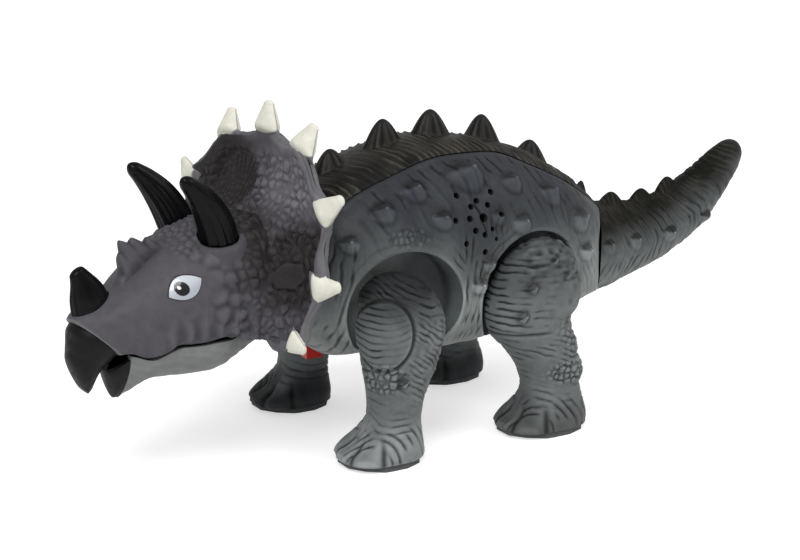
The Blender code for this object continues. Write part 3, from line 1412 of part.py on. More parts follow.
lug_limit = loft([head_ring(x, WALL / 2, HEAD_FLOOR_DROP) for x in cavity_rows], "limit")
for side in (LEFT, RIGHT):
    lug = box(
        JAW_HINGE_X - JAW_LUG_HALF_LENGTH,
        JAW_HINGE_X + JAW_LUG_HALF_LENGTH,
        side * JAW_LUG_Y,
        side * (JAW_LUG_Y + JAW_LUG_THICKNESS),
        JAW_HINGE_Z - JAW_LUG_DROP,
        JAW_SHELF_Z + JAW_LUG_THICKNESS,
    )
    shelf = box(
        JAW_HINGE_X - JAW_LUG_HALF_LENGTH,
        JAW_HINGE_X + JAW_LUG_HALF_LENGTH,
        side * (JAW_LUG_Y + JAW_LUG_THICKNESS / 2),
        side * FAR,
        JAW_SHELF_Z,
        JAW_SHELF_Z + JAW_LUG_THICKNESS,
    )
    join(head, join(common(shelf, copy(lug_limit)), lug))
bpy.data.objects.remove(lug_limit, do_unlink=True)
lug_hole = JAW_PIN_RADIUS + SHAFT_CLEARANCE / 2
pin_half = JAW_PIN_HALF_LENGTH
cut(head, cross_bar(JAW_HINGE_X, JAW_HINGE_Z, -pin_half, pin_half, lug_hole, SMALL_STEPS))
cut(head, beyond_plane(BEAK_PLANE, True))
cut(head, nose_horn(GAP))
for side in (LEFT, RIGHT):
    cut(head, brow_horn(side, GAP), eye(side, GAP))
keep(head, "head_shell", "head_grey", head_frame)

keep(nose_horn(0.0), "nose_horn", "horn_black", head_frame)
for side, hand in ((LEFT, "left"), (RIGHT, "right")):
    keep(brow_horn(side, 0.0), f"brow_horn_{hand}", "horn_black", head_frame)
    keep(eye(side, 0.0), f"eye_{hand}", "eye_white", head_frame)

beak_rings = []
for total, x, half_length, half_width in BEAK_RINGS:
    middle = Vector((x, 0, total - x))
    down = Vector((1, 0, -1)).normalized()
    ring = []
    for k in range(HEAD_AROUND):
        angle = 2 * math.pi * k / HEAD_AROUND
        ring.append(
            middle + down * math.cos(angle) * half_length + Vector((0, math.sin(angle) * half_width, 0))
        )
    beak_rings.append(ring)
keep(loft(beak_rings, "beak"), "upper_beak", "beak_black", head_frame)



def cover_front(share):
    return FRILL_THICKNESS + GAP + FRILL_COVER_STANDOFF * 4 * share * (1 - share)


def cover_back(share):
    return cover_front(share) + FRILL_COVER_THICKNESS


cover = frill_sheet(FRILL_COVER_ROOT, FRILL_COVER_EDGE, cover_front, cover_back)
keep(cover, "frill_back_cover", "frill_back_grey", head_frame)

neck_pin = post(NECK_X, 0, NECK_PIN_BOTTOM, NECK_PIN_TOP, NECK_PIN_RADIUS)
keep(neck_pin, "neck_pin", "steel", body_frame)

# Jaw

jaw_frame = joint_frame("jaw_frame", (JAW_HINGE_X, 0.0, JAW_HINGE_Z), head_frame)
jaw_origin = (JAW_HINGE_X, 0.0, JAW_HINGE_Z)


def scoop_ring(x, rim, bottom, half_width, rise):
    """One ring of a scoop: a round bottom and a flat rim, the rim raised where it cuts an opening."""
    ring = [(x, -half_width, rim + rise)]
    steps = HEAD_AROUND // 2
    for k in range(1, steps):
        angle = math.pi * k / steps
        c = -math.cos(angle)
        s = math.sin(angle)
        side = math.copysign(abs(c) ** (2 / HEAD_TOP_POWER), c) * half_width
        ring.append((x, side, rim - abs(s) ** (2 / HEAD_TOP_POWER) * (rim - bottom)))
    ring.append((x, half_width, rim + rise))
    return ring


def jaw_ring(x, inset, rise):
    bottom, half_width = spline(JAW_SECTIONS, x)
    rim = spline(HEAD_SECTIONS, x)[1] - JAW_RIM_GAP
    return scoop_ring(x, rim, bottom + inset, half_width - inset, rise)


jaw_rows = stations(JAW_SECTIONS[0][0], JAW_SECTIONS[-1][0], HEAD_STATIONS)
jaw = loft([jaw_ring(x, 0.0, 0.0) for x in jaw_rows], "jaw")
jaw_hollow_rows = stations(JAW_SECTIONS[0][0] + WALL, JAW_SECTIONS[-1][0] - WALL, HEAD_STATIONS)
cut(jaw, loft([jaw_ring(x, WALL, JAW_OPENING) for x in jaw_hollow_rows], "cavity"))
jaw_hole = JAW_PIN_RADIUS + SHAFT_CLEARANCE
cut(jaw, cross_bar(JAW_HINGE_X, JAW_HINGE_Z, -FAR, FAR, jaw_hole, SMALL_STEPS))
keep(jaw, "lower_jaw", "jaw_grey", jaw_frame, jaw_origin)
jaw_pin = cross_bar(JAW_HINGE_X, JAW_HINGE_Z, -pin_half, pin_half, JAW_PIN_RADIUS, SMALL_STEPS)
keep(jaw_pin, "jaw_pin", "steel", head_frame)

lower_beak = loft([scoop_ring(*row, 0.0) for row in LOWER_BEAK], "lower_beak")
beak_hollow = []
for x, rim, bottom, half_width in LOWER_BEAK:
    beak_hollow.append(
        scoop_ring(
            x + LOWER_BEAK_WALL,
            rim,
            bottom + LOWER_BEAK_WALL,
            half_width - LOWER_BEAK_WALL,
            JAW_OPENING,
        )
    )
cut(lower_beak, loft(beak_hollow, "cavity"))
keep(lower_beak, "lower_beak", "beak_black", jaw_frame, jaw_origin)

# Tail

tail_frame = joint_frame("tail_frame", (TAIL_PIVOT_X, 0.0, 0.0), body_frame)
tail_origin = (TAIL_PIVOT_X, 0.0, 0.0)


def tail_ring(x, inset):
    """One ring square to the tail's curved spine."""
    z, half_height, half_width = spline(TAIL_SPINE, x)
    slope = (spline(TAIL_SPINE, x + WALL)[0] - spline(TAIL_SPINE, x - WALL)[0]) / (2 * WALL)
    up = Vector((-slope, 0, 1)).normalized()
    ring = []
    half = half_height - inset
    for side, height in oval(TAIL_AROUND, half_width - inset, half, half, TAIL_POWER, TAIL_POWER):
        ring.append(Vector((x, side, z)) + up * height)
    return ring


tail_rows = stations(TAIL_SPINE[0][0], TAIL_SPINE[-1][0], TAIL_STATIONS)
tail = loft([tail_ring(x, 0.0) for x in tail_rows], "tail")
for tip_x, tip_z, base_x, base_z, half_length, half_width in TAIL_SPIKES:
    join(tail, spike((base_x, 0, base_z), (tip_x, 0, tip_z), half_length, half_width))
hollow_rings = [tail_ring(x, WALL) for x in tail_rows[:-TAIL_SOLID_STATIONS]]
hollow_rings[0] = [point - Vector((WALL, 0, 0)) for point in hollow_rings[0]]
cut(tail, loft(hollow_rings, "void"))
tail_side = tail_seam_cutter(TAIL_SEAM_RADIUS + TAIL_SEAM_GAP)
keep(common(tail, tail_side), "tail_shell", "flank_grey", tail_frame, tail_origin)

plug_zone = box(TAIL_PLUG_X, TAIL_PLUG_X + TAIL_PLUG_THICKNESS, -FAR, FAR, -FAR, FAR)
plug = common(loft([tail_ring(x, WALL + GAP) for x in tail_rows[:-TAIL_SOLID_STATIONS]], "plug"), plug_zone)
arm_half = TAIL_ARM_HALF_WIDTH
join(
    plug,
    box(TAIL_PIVOT_X, TAIL_PLUG_X + GAP, -arm_half, arm_half, TAIL_ARM_BOTTOM, TAIL_ARM_TOP),
    post(TAIL_PIVOT_X, 0, TAIL_ARM_BOTTOM, TAIL_ARM_TOP, TAIL_BOSS_RADIUS),
)
cut(plug, post(TAIL_PIVOT_X, 0, -FAR, FAR, TAIL_PIN_RADIUS + SHAFT_CLEARANCE))
keep(plug, "tail_arm", "inner_black", tail_frame, tail_origin)
keep(post(TAIL_PIVOT_X, 0, TAIL_PIN_BOTTOM, TAIL_PIN_TOP, TAIL_PIN_RADIUS), "tail_pin", "steel", body_frame)

# Neck arm, its plate seated on the rear rim of the head

arm_end = HEAD_SECTIONS[-1][0] + GAP
plate_ring = head_ring(HEAD_SECTIONS[-1][0], WALL / 2, 0.0)
plate_rings = []
for x in (arm_end, arm_end + NECK_PLATE_THICKNESS):
    plate_rings.append([(x, y, z) for _, y, z in plate_ring])
arm = loft(plate_rings, "plate")
join(
    arm,
    box(arm_end + GAP, 0.0, -NECK_ARM_HALF_WIDTH, NECK_ARM_HALF_WIDTH, NECK_ARM_BOTTOM, NECK_ARM_TOP),
    post(0, 0, NECK_ARM_BOTTOM, NECK_ARM_TOP, NECK_BOSS_RADIUS),
)
cut(arm, post(0, 0, -FAR, FAR, NECK_PIN_RADIUS + SHAFT_CLEARANCE))
keep(arm, "neck_arm", "inner_black", head_frame)

for scrap in (rib_limit, flanks):
    bpy.data.objects.remove(scrap, do_unlink=True)
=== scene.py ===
"""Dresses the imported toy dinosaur: moulded skin, paint, a pale studio and the photograph's camera."""
import itertools
import math

import bpy
import numpy as np
from mathutils import Matrix, Vector


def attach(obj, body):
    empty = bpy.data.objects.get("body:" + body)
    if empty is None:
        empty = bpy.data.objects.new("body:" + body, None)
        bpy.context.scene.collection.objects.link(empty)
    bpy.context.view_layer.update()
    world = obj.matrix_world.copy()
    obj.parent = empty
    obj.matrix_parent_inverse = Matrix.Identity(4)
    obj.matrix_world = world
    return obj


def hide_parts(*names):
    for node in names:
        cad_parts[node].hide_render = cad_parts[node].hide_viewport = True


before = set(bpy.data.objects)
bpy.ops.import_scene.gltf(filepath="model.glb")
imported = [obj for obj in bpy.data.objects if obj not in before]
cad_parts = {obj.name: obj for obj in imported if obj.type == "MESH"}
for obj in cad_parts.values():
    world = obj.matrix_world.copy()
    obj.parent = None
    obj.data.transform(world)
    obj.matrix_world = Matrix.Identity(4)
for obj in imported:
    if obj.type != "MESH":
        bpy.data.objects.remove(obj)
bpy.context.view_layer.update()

# All shapes are worked out in millimetres, in the frame of the solids: nose -X, toy's left -Y, ground at 0.
MM = 0.001
WALL = 2.2
SEAM_GAP = 0.5
# Half of the gap where two halves of a shell meet, and a reach past the whole toy
SPLIT = 0.12
FAR = 200
SHARP_EDGE = math.radians(50)
HANDS = ((-1, "left"), (1, "right"))
# Rings along each skin and points round them
BODY_GRID = (384, 400)
TAIL_GRID = (300, 220)
LEG_GRID = (200, 200)
HEAD_GRID = (200, 220)
FRILL_GRID = (340, 90)

# Body: rows of x, top, bottom, half width
BODY_SECTIONS = [
    (-80, 112, 58, 24), (-66, 122, 44, 36), (-48, 130.4, 41.5, 43), (-15, 138.6, 39.5, 47), (14, 137, 40, 47),
    (43, 129.5, 44, 44), (66, 117.5, 48.5, 38), (82, 105.5, 51.5, 31), (96, 92.5, 53, 25),
]
BODY_POWERS = (2.1, 3.0)
# Seam between the back cover and the flanks: x, z
BACK_SEAM = [
    (-90, 95), (-58.5, 117), (-38, 125.5), (-12.8, 132.2), (14.8, 132), (26.5, 130), (39, 124.6), (65.5, 111.4),
    (102, 86.6),
]
# Back spikes: tip x, tip z, base half length, base half width
BACK_SPIKES = [
    (-54.5, 135.9, 8.2, 6), (-26.2, 147.6, 9.4, 6.8), (0.2, 150.1, 10.2, 7), (29.2, 145.3, 9.4, 6.8),
    (58.5, 130, 8.4, 6.2), (89.4, 106.4, 4.4, 3.4),
]
FRONT_WELL = (-36.7, 67.8, 27.3)
HIND_WELL = (31.0, 67.5, 29.2)
WELL_FLOOR = 29.0
WELL_LIP = 2.0
WELL_STEPS = np.arange(WELL_LIP, 46, 1.2)
HIPS = {"front": (-43.5, 69.0), "hind": (30.0, 68.0)}
HIP_HOLE = 4.6
LEG_HOLE = 4.5
# Thorn studs on the flank: apex x, z, size
STUDS = [
    (1.4, 125.6, 1.75), (23.7, 119.6, 1.1), (46, 112, 1.25), (-27.2, 121, 1.15), (-44, 113.3, 1.1),
    (-17.9, 108.4, 0.95), (24.2, 102, 1.1), (62.9, 97.7, 1.25), (66.5, 82, 0.95), (57.5, 71.8, 0.8),
    (4.8, 84.9, 0.8), (0.3, 75.9, 0.9), (-61, 100.5, 0.9), (11, 106.2, 0.8),
]
# Speaker holes in the left flank: x, y, z, radius
SPEAKER_HOLES = [
    (-9.8, -39.6, 116.9, 1.5), (-0.1, -41.1, 113.8, 1.5), (-3.9, -42.2, 111.6, 1.5), (5.3, -42.1, 111.5, 1.5),
    (8.8, -39.1, 116.6, 1.5), (-13.1, -44.2, 106.6, 1.45), (-5.7, -44.3, 106.6, 1.6), (1.8, -44.3, 106.3, 2.1),
    (10.7, -43.9, 106.6, 1.3), (-3.4, -45.8, 101.1, 1.5), (1.3, -46.1, 98.7, 1.5), (5.9, -45.7, 100.9, 1.2),
    (-8.7, -46.6, 95.9, 1.4), (7.7, -46.4, 96.2, 1.0), (1.4, -46.9, 90.9, 1.4),
]
# The crack that joins some of the holes: z, x
SPEAKER_CRACK = [(98.5, 2.6), (99.5, 2.4), (103.5, 1.2), (108.5, 0.4), (112.5, -1.6), (113.5, -2)]
# Screws in the right flank: x, z
SCREW_PLACES = [(-49, 113), (24, 120), (68, 55)]
SCREW_HOLE = 3.2
# Battery door: front, rear, half width, top
DOOR = (-23, 37, 19, 47.8)
DOOR_GAP = 0.3
DOOR_SCREW_X = 33.5
DOOR_SCREW_HOLE = 3.1
NECK_OPENING = (-95, -75, -14, 14, 67.5, 96.5)
SWITCH_OPENING = (-68.4, -55.6, -3.4, 3.4, 20, 56)

# Tail: rows of x, z, half height, half width
TAIL_SPINE = [
    (76, 73.6, 25.6, 26.5), (84, 73.4, 24.4, 25.2), (92, 73.2, 23.1, 23.8), (108, 73.9, 20.3, 20.2),
    (127, 76.4, 17.1, 16.8), (145, 82, 15.2, 14.4), (160.5, 91.2, 13.3, 12.2), (173, 101.8, 10.9, 9.9),
    (181, 109.4, 8.9, 8), (185.4, 113.9, 6.8, 6.2), (187.4, 116.1, 4.7, 4.3), (188.4, 117.1, 2.4, 2.2),
]
# Tail spikes: tip x, tip z, base half length, base half width
TAIL_SPIKES = [(107.5, 99.4, 7, 4.5), (126, 99, 7, 4.2), (142, 102.5, 6.5, 4)]
# Thorn studs on the tail: apex x, z, size
TAIL_STUDS = [(88.5, 79, 0.85), (109.5, 78, 0.95), (134.8, 78.2, 0.95), (160.5, 83.5, 0.9)]
TAIL_PIVOT = 52.0
TAIL_SEAM = 40.0
TAIL_GAP = 0.5
# Height of the seam's middle and half height of the ball it lies on
TAIL_BALL = (76, 85)
SEAM_SHARPNESS = 40

# Legs: rows of z, middle x, half length, half thickness
FRONT_LEG = [
    (3, -53, 20, 17.2), (7.5, -52.5, 19.8, 17.2), (12.5, -49.8, 16.6, 15), (20, -46.2, 12.4, 11.8),
    (30, -45, 13.2, 12.2), (42, -43.3, 16.9, 13.2), (54, -42.2, 19.9, 13.8), (64, -42.3, 20.8, 13.8),
    (73, -43.5, 19.2, 12.6), (80.5, -45.5, 15.2, 10.3), (85, -46.2, 9.5, 7), (87, -46.6, 4.5, 3.5),
]
HIND_LEG = [
    (3, 35, 22.4, 17.2), (7.5, 35.8, 22, 17.2), (12.5, 38, 18.8, 15.2), (20, 39.8, 14.8, 12.4),
    (30, 38.0, 14.7, 12.6), (40, 33.8, 17.4, 13.2), (50, 27.4, 20.1, 13.8), (60, 27.4, 22.9, 14),
    (69, 29.0, 23.2, 14), (78, 30.7, 21.4, 12.8), (85.8, 32.2, 16.6, 10.3), (90.6, 33.0, 10.4, 7),
    (92.7, 33.2, 5.4, 3.5),
]
LEG_POWER = 2.3
LEG_MIDDLE = 45.5
LEG_FACE = 61.2
LEG_FACE_SOFTNESS = 0.95
TOE_PITCH = 0.80
# Thorn studs on the legs: apex x, z, size
FRONT_LEG_STUDS = [(-47, 39.3, 0.9)]
HIND_LEG_STUDS = [(21.4, 73.8, 1.05), (16.2, 60.6, 1.05), (40.1, 77.7, 0.9), (34.5, 85, 0.8)]

# Paint, as plain surface colours
FLANK_HIGH = (0.026, 0.029, 0.034)
FLANK_LOW = (0.205, 0.223, 0.219)
FLANK_BLUE = (0.020, 0.021, 0.034)
# Paler grey low on the belly: painted bounce light from the white floor
BELLY_BOUNCE_LIGHT = (0.280, 0.285, 0.290)
BACK_DARK = (0.004, 0.0035, 0.003)
# Lighter brown on the ridges of the back and tail: partly their brown paint, partly painted sheen
BACK_RIDGE_SHEEN = (0.058, 0.052, 0.043)
TAIL_DARK = (0.006, 0.006, 0.0035)
LEG_GREY = (0.140, 0.152, 0.154)
LEG_PALE = (0.225, 0.240, 0.242)
# Near black at the tops of the legs: dark paint together with painted shadow from the leg wells
LEG_DARK_AND_SHADOW = (0.010, 0.011, 0.012)
HIND_FOOT = (0.085, 0.090, 0.090)
# Darker foot grey for the far legs only: painted shade
FAR_FOOT_SHADE = (0.030, 0.033, 0.035)
# Near black on the inner walls of hollows, holes and gaps: painted shade where little light reaches
INSIDE_SHADE = (0.012, 0.012, 0.013)
# Grey at the wells' floors, darker as painted shade
WELL_FLOOR_SHADE = (0.068, 0.074, 0.079)
WELL_PALE = (0.150, 0.168, 0.168)
WELL_RIM = (0.120, 0.132, 0.132)
# Painted light on the forward, upper walls of the front wells
WELL_LIT = (0.270, 0.290, 0.290)

CORNERS = np.array(list(itertools.product((0, 1), repeat=3)))
NEIGHBOURS = np.array(list(itertools.product((-1, 0, 1), repeat=3)))


# Numbers


def smooth(low, high, value):
    """0 at low, 1 at high, with soft ends; low may be the larger."""
    t = np.clip((value - low) / (high - low), 0, 1)
    return t * t * (3 - 2 * t)


def curve(rows, at):
    """The rows' values at places along their first column, on a smooth curve through them."""
    rows = np.asarray(rows, float)
    at = np.asarray(at, float)
    x = rows[:, 0]
    values = rows[:, 1:]
    slopes = np.empty_like(values)
    slopes[1:-1] = (values[2:] - values[:-2]) / (x[2:] - x[:-2])[:, None]
    slopes[0] = (values[1] - values[0]) / (x[1] - x[0])
    slopes[-1] = (values[-1] - values[-2]) / (x[-1] - x[-2])
    k = np.clip(np.searchsorted(x, at) - 1, 0, len(x) - 2)
    span = (x[k + 1] - x[k])[:, None]
    u = (at - x[k])[:, None] / span
    a, b = values[k], values[k + 1]
    rise, fall = slopes[k] * span, slopes[k + 1] * span
    return a + rise * u + (3 * (b - a) - 2 * rise - fall) * u**2 + (2 * (a - b) + rise + fall) * u**3


def lattice(cell, seed):
    """A repeatable number from 0 to 1 for each whole-number cell."""
    n = cell[..., 0] * 374761393 + cell[..., 1] * 668265263 + cell[..., 2] * 1442695041 + seed * 1274126177
    n = (n ^ (n >> 13)) * 1274126177
    n = (n ^ (n >> 16)) & 0xFFFFFF
    return n / 0xFFFFFF


def noise(points, size, seed):
    """Smooth noise from -1 to 1 with features of about the given size."""
    scaled = points / size
    base = np.floor(scaled).astype(np.int64)
    part = scaled - base
    part = part * part * (3 - 2 * part)
    total = np.zeros(len(points))
    for corner in CORNERS:
        weight = np.prod(np.where(corner, part, 1 - part), axis=1)
        total += weight * lattice(base + corner, seed)
    return total * 2 - 1


def cells(points, size, seed):
    """Distances to the nearest and the second nearest of scattered points about the given size apart."""
    scaled = points / size
    base = np.floor(scaled).astype(np.int64)
    first = np.full(len(points), 9.0)
    second = first.copy()
    for offset in NEIGHBOURS:
        cell = base + offset
        spot = np.stack([lattice(cell, seed + k) for k in range(3)], 1)
        away = np.linalg.norm(scaled - cell - 0.15 - 0.7 * spot, axis=1)
        second = np.minimum(second, np.maximum(first, away))
        first = np.minimum(first, away)
    return first * size, second * size


def pebbles(points, size, seed):
    """Rounded scales: 1 on their crowns, 0 in the grooves between them."""
    first, second = cells(points, size, seed)
    return smooth(0.02, 0.45, (second - first) / size) * (1 - 0.35 * (first / size) ** 2)


def mix(a, b, share):
    """From colour a to colour b."""
    share = np.asarray(share)[..., None]
    return np.asarray(a) * (1 - share) + np.asarray(b) * share


def bell(offset, width):
    """1 at no offset, falling away over about the width."""
    return np.exp(-((offset / width) ** 2))


def product(*factors):
    total = 1
    for factor in factors:
        total = total * factor
    return total


def emboss(lift, tone, height, shade, *shares):
    """Adds the product of the shares to the relief, by height, and to the paint's tone, by shade."""
    lift += product(height, *shares)
    tone += product(shade, *shares)


def folded(points):
    """Points of both sides laid on the +Y side."""
    return points * [1, 0, 1] + np.abs(points) * [0, 1, 0]


def circle(count):
    """Even angles round a full turn."""
    return np.linspace(0, 2 * np.pi, count, endpoint=False)


def unit(vectors):
    return vectors / np.linalg.norm(vectors, axis=-1, keepdims=True)


def stations(rows, count):
    """Even places along the first column of a table."""
    return np.linspace(rows[0][0], rows[-1][0], count)


# Meshes


def even(near):
    return np.ones_like(near)


def oval_rings(half_width, up, down, powers, count, density=even):
    """Rings of (side, height) from the top round by -side, and each point's arc from the top.

    The points of a ring are spaced by arc length and density.
    """
    turn = np.linspace(0, 2 * np.pi, 1441)
    c, s = -np.sin(turn), np.cos(turn)
    power = np.where(s >= 0, powers[0], powers[1])
    side_unit = np.sign(c) * np.abs(c) ** (2 / power)
    rise_unit = np.sign(s) * np.abs(s) ** (2 / power)
    rings = np.empty((len(half_width), count, 2))
    arcs = np.empty((len(half_width), count))
    for k in range(len(half_width)):
        side = side_unit * half_width[k]
        rise = rise_unit * np.where(s >= 0, up[k], down[k])
        step = np.hypot(np.diff(side), np.diff(rise))
        arc = np.concatenate([[0], np.cumsum(step)])
        near = np.minimum(arc, arc[-1] - arc)
        weight = density(near)
        run = np.concatenate([[0], np.cumsum(step * (weight[1:] + weight[:-1]) / 2)])
        at = np.arange(count) / count * run[-1]
        rings[k, :, 0] = np.interp(at, run, side)
        rings[k, :, 1] = np.interp(at, run, rise)
        arcs[k] = np.interp(at, run, near)
    return rings, arcs


def grid_normals(rings):
    """Outward unit normals of a grid of rings, one for each point."""
    around = np.roll(rings, -1, 1) - np.roll(rings, 1, 1)
    along = np.gradient(rings, axis=0)
    normals = np.cross(around, along)
    normals /= np.linalg.norm(normals, axis=2, keepdims=True) + 1e-12
    outward = rings - rings.mean(1, keepdims=True)
    return (normals * np.sign((normals * outward).sum())).reshape(-1, 3)


def blur(field, times):
    """A grid field averaged with its neighbours."""
    for _ in range(times):
        field = (np.roll(field, 1, 1) + np.roll(field, -1, 1) + 2 * field) / 4
        field[1:-1] = (field[:-2] + field[2:] + 2 * field[1:-1]) / 4
    return field


def relief_shade(colour, lift, shape, tone, passes, depth, gains, limits):
    """Colour with painted shade in the relief's hollows and painted light on its crests, and changed by the
    tone.
    """
    rows = lift.reshape(shape)
    height = np.clip((rows - blur(rows, passes)).reshape(-1) / depth, -1, 1)
    return colour * (1 + np.where(height > 0, *gains) * height + tone)[:, None].clip(*limits)


def grid(x, y, z):
    """Rings from their coordinates, each given for every point or once for a ring."""
    return np.stack(np.broadcast_arrays(x, y, z), -1)


def tube(rings):
    """Points and faces of a closed skin through rings, with fans at both ends."""
    rows, around = rings.shape[:2]
    points = np.concatenate([rings.reshape(-1, 3), rings[:1].mean(1), rings[-1:].mean(1)])
    row = np.arange(rows - 1)[:, None] * around
    here = np.arange(around)[None]
    after = (here + 1) % around
    quads = np.stack([row + here, row + after, row + around + after, row + around + here], -1).reshape(-1, 4)
    here, after = here[0], after[0]
    first = np.full(around, rows * around)
    last = (rows - 1) * around
    starts = np.stack([first, after, here], 1)
    ends = np.stack([first + 1, last + here, last + after], 1)
    a, b, c, d = (points[quads[:, k]] for k in range(4))
    volume = (a * np.cross(b, c)).sum() + (a * np.cross(c, d)).sum()
    faces = quads.tolist() + starts.tolist() + ends.tolist()
    if volume < 0:
        faces = [face[::-1] for face in faces]
    return points, faces


def capped(values):
    """A grid's values with those of the two fan centres added."""
    flat = values.reshape(-1, *values.shape[2:])
    return np.concatenate([flat, values[:1].mean(1), values[-1:].mean(1)])


def add_object(name, data):
    made = bpy.data.objects.new(name, data)
    bpy.context.scene.collection.objects.link(made)
    return made


def make(name, points, faces, paint):
    """A mesh object with its paint, from millimetres."""
    mesh = bpy.data.meshes.new(name)
    mesh.from_pydata((np.asarray(points) * MM).tolist(), [], faces)
    colours = np.ones((len(points), 4), np.float32)
    colours[:, :3] = paint
    mesh.color_attributes.new("paint", "FLOAT_COLOR", "POINT").data.foreach_set("color", colours.ravel())
    return add_object(name, mesh)


def skin(name, rings, paint=INSIDE_SHADE):
    """A closed mesh through rings, in one colour or in one for each of their points."""
    if np.ndim(paint) > 1:
        paint = capped(np.reshape(paint, rings.shape))
    return make(name, *tube(rings), paint)


def copy(piece, name):
    return add_object(name, piece.data.copy())


def combine(piece, tool, operation):
    """Joins, cuts or intersects a piece with a tool, which is used up."""
    modifier = piece.modifiers.new("combine", "BOOLEAN")
    modifier.operation = operation
    modifier.object = tool
    modifier.solver = "MANIFOLD"
    graph = bpy.context.evaluated_depsgraph_get()
    mesh = bpy.data.meshes.new_from_object(piece.evaluated_get(graph))
    piece.modifiers.clear()
    spent = (piece.data, tool.data)
    piece.data = mesh
    bpy.data.objects.remove(tool, do_unlink=True)
    for old in spent:
        bpy.data.meshes.remove(old)
    return piece


def cut(piece, *tools):
    for tool in tools:
        combine(piece, tool, "DIFFERENCE")
    return piece


def prism(outline, axis, low, high):
    """An outline of points on the two other axes, run along one axis."""
    outline = np.asarray(outline, float)
    points = np.concatenate([np.insert(outline, axis, place, axis=1) for place in (low, high)])
    count = len(outline)
    here = np.arange(count)
    after = (here + 1) % count
    faces = np.stack([here, after, count + after, count + here], 1).tolist()
    faces += [here[::-1].tolist(), (count + here).tolist()]
    area = (outline[here, 0] * outline[after, 1] - outline[after, 0] * outline[here, 1]).sum()
    if (area < 0) != (axis == 1):
        faces = [face[::-1] for face in faces]
    return make("prism", points, faces, INSIDE_SHADE)


def block(x0, x1, y0, y1, z0, z1):
    return prism([(x0, y0), (x1, y0), (x1, y1), (x0, y1)], 2, z0, z1)


def half(piece, side, plane=0.0):
    """What lies on one side of an upright plane along the toy."""
    near, far = sorted((plane + side * SPLIT, plane + side * FAR))
    return combine(piece, block(-FAR, FAR, near, far, 0, FAR), "INTERSECT")


def lathe(start, direction, profile, paint=INSIDE_SHADE, steps=96):
    """A closed turned solid: profile rows of distance along the direction and radius."""
    direction = Vector(direction).normalized()
    across = np.array(direction.orthogonal().normalized())
    direction = np.array(direction)
    other = np.cross(direction, across)
    angle = circle(steps)
    spokes = np.cos(angle)[:, None] * across + np.sin(angle)[:, None] * other
    rings = np.stack([np.asarray(start) + direction * along + spokes * radius for along, radius in profile])
    if np.ndim(paint) == 2:
        paint = np.repeat(np.asarray(paint)[:, None], steps, 1)
    return skin("lathe", rings, paint)


def bar(start, end, radius, steps=48):
    run = Vector(end) - Vector(start)
    return lathe(start, run, [(0, radius), (run.length, radius)], steps=steps)


def arrays(mesh):
    """Positions in millimetres, paint and edges of a mesh."""
    points = np.empty(len(mesh.vertices) * 3, np.float32)
    mesh.vertices.foreach_get("co", points)
    colours = np.empty(len(mesh.vertices) * 4, np.float32)
    mesh.attributes["paint"].data.foreach_get("color", colours)
    edges = np.empty(len(mesh.edges) * 2, np.int32)
    mesh.edges.foreach_get("vertices", edges)
    return points.reshape(-1, 3) / MM, colours.reshape(-1, 4), edges.reshape(-1, 2)


def bare_points(colours):
    """Points made by a cut, which have no paint yet."""
    return colours[:, :3].min(1) > 0.97


def set_paint(mesh, colours):
    mesh.attributes["paint"].data.foreach_set("color", colours.ravel())


def fill_paint(piece, paint):
    """Gives one paint to the points that the last cuts made."""
    _, colours, _ = arrays(piece.data)
    colours[bare_points(colours), :3] = paint
    set_paint(piece.data, colours)


def mend_paint(mesh):
    """Points made by a cut have no paint: they take their darkest neighbour's."""
    _, colours, edges = arrays(mesh)
    for _ in range(6):
        bare = bare_points(colours)
        if not bare.any():
            break
        darkest = np.full_like(colours, 2)
        for a, b in ((0, 1), (1, 0)):
            known = ~bare[edges[:, b]]
            np.minimum.at(darkest, edges[known, a], colours[edges[known, b]])
        found = bare & (darkest[:, 3] < 2)
        colours[found] = darkest[found]
    set_paint(mesh, colours)


def dress(piece, name, body, nodes, material):
    """Gives a finished piece its name, shading, material and place in the frame."""
    piece.name = name
    piece.data.name = name
    mend_paint(piece.data)
    piece.data.shade_smooth()
    piece.data.set_sharp_from_angle(angle=SHARP_EDGE)
    piece.data.materials.clear()
    piece.data.materials.append(material)
    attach(piece, body)
    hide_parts(*nodes)


# Materials


def texture(nodes, links, kind, scale, **inputs):
    """A 3-D texture in the piece's own space."""
    space = nodes.new("ShaderNodeTexCoord")
    made = nodes.new(kind)
    made.inputs["Scale"].default_value = scale
    for key, value in inputs.items():
        made.inputs[key].default_value = value
    links.new(space.outputs["Object"], made.inputs["Vector"])
    return made


def spread(nodes, links, source, low, high):
    """A texture's middle range laid out between two values."""
    made = nodes.new("ShaderNodeMapRange")
    made.inputs["From Min"].default_value = 0.3
    made.inputs["From Max"].default_value = 0.7
    made.inputs["To Min"].default_value = low
    made.inputs["To Max"].default_value = high
    links.new(source, made.inputs["Value"])
    return made.outputs["Result"]


def grey(nodes, links, source, low, high):
    """A grey that follows a texture between two levels."""
    made = nodes.new("ShaderNodeCombineColor")
    level = spread(nodes, links, source, low, high)
    for channel in ("Red", "Green", "Blue"):
        links.new(level, made.inputs[channel])
    return made.outputs["Color"]


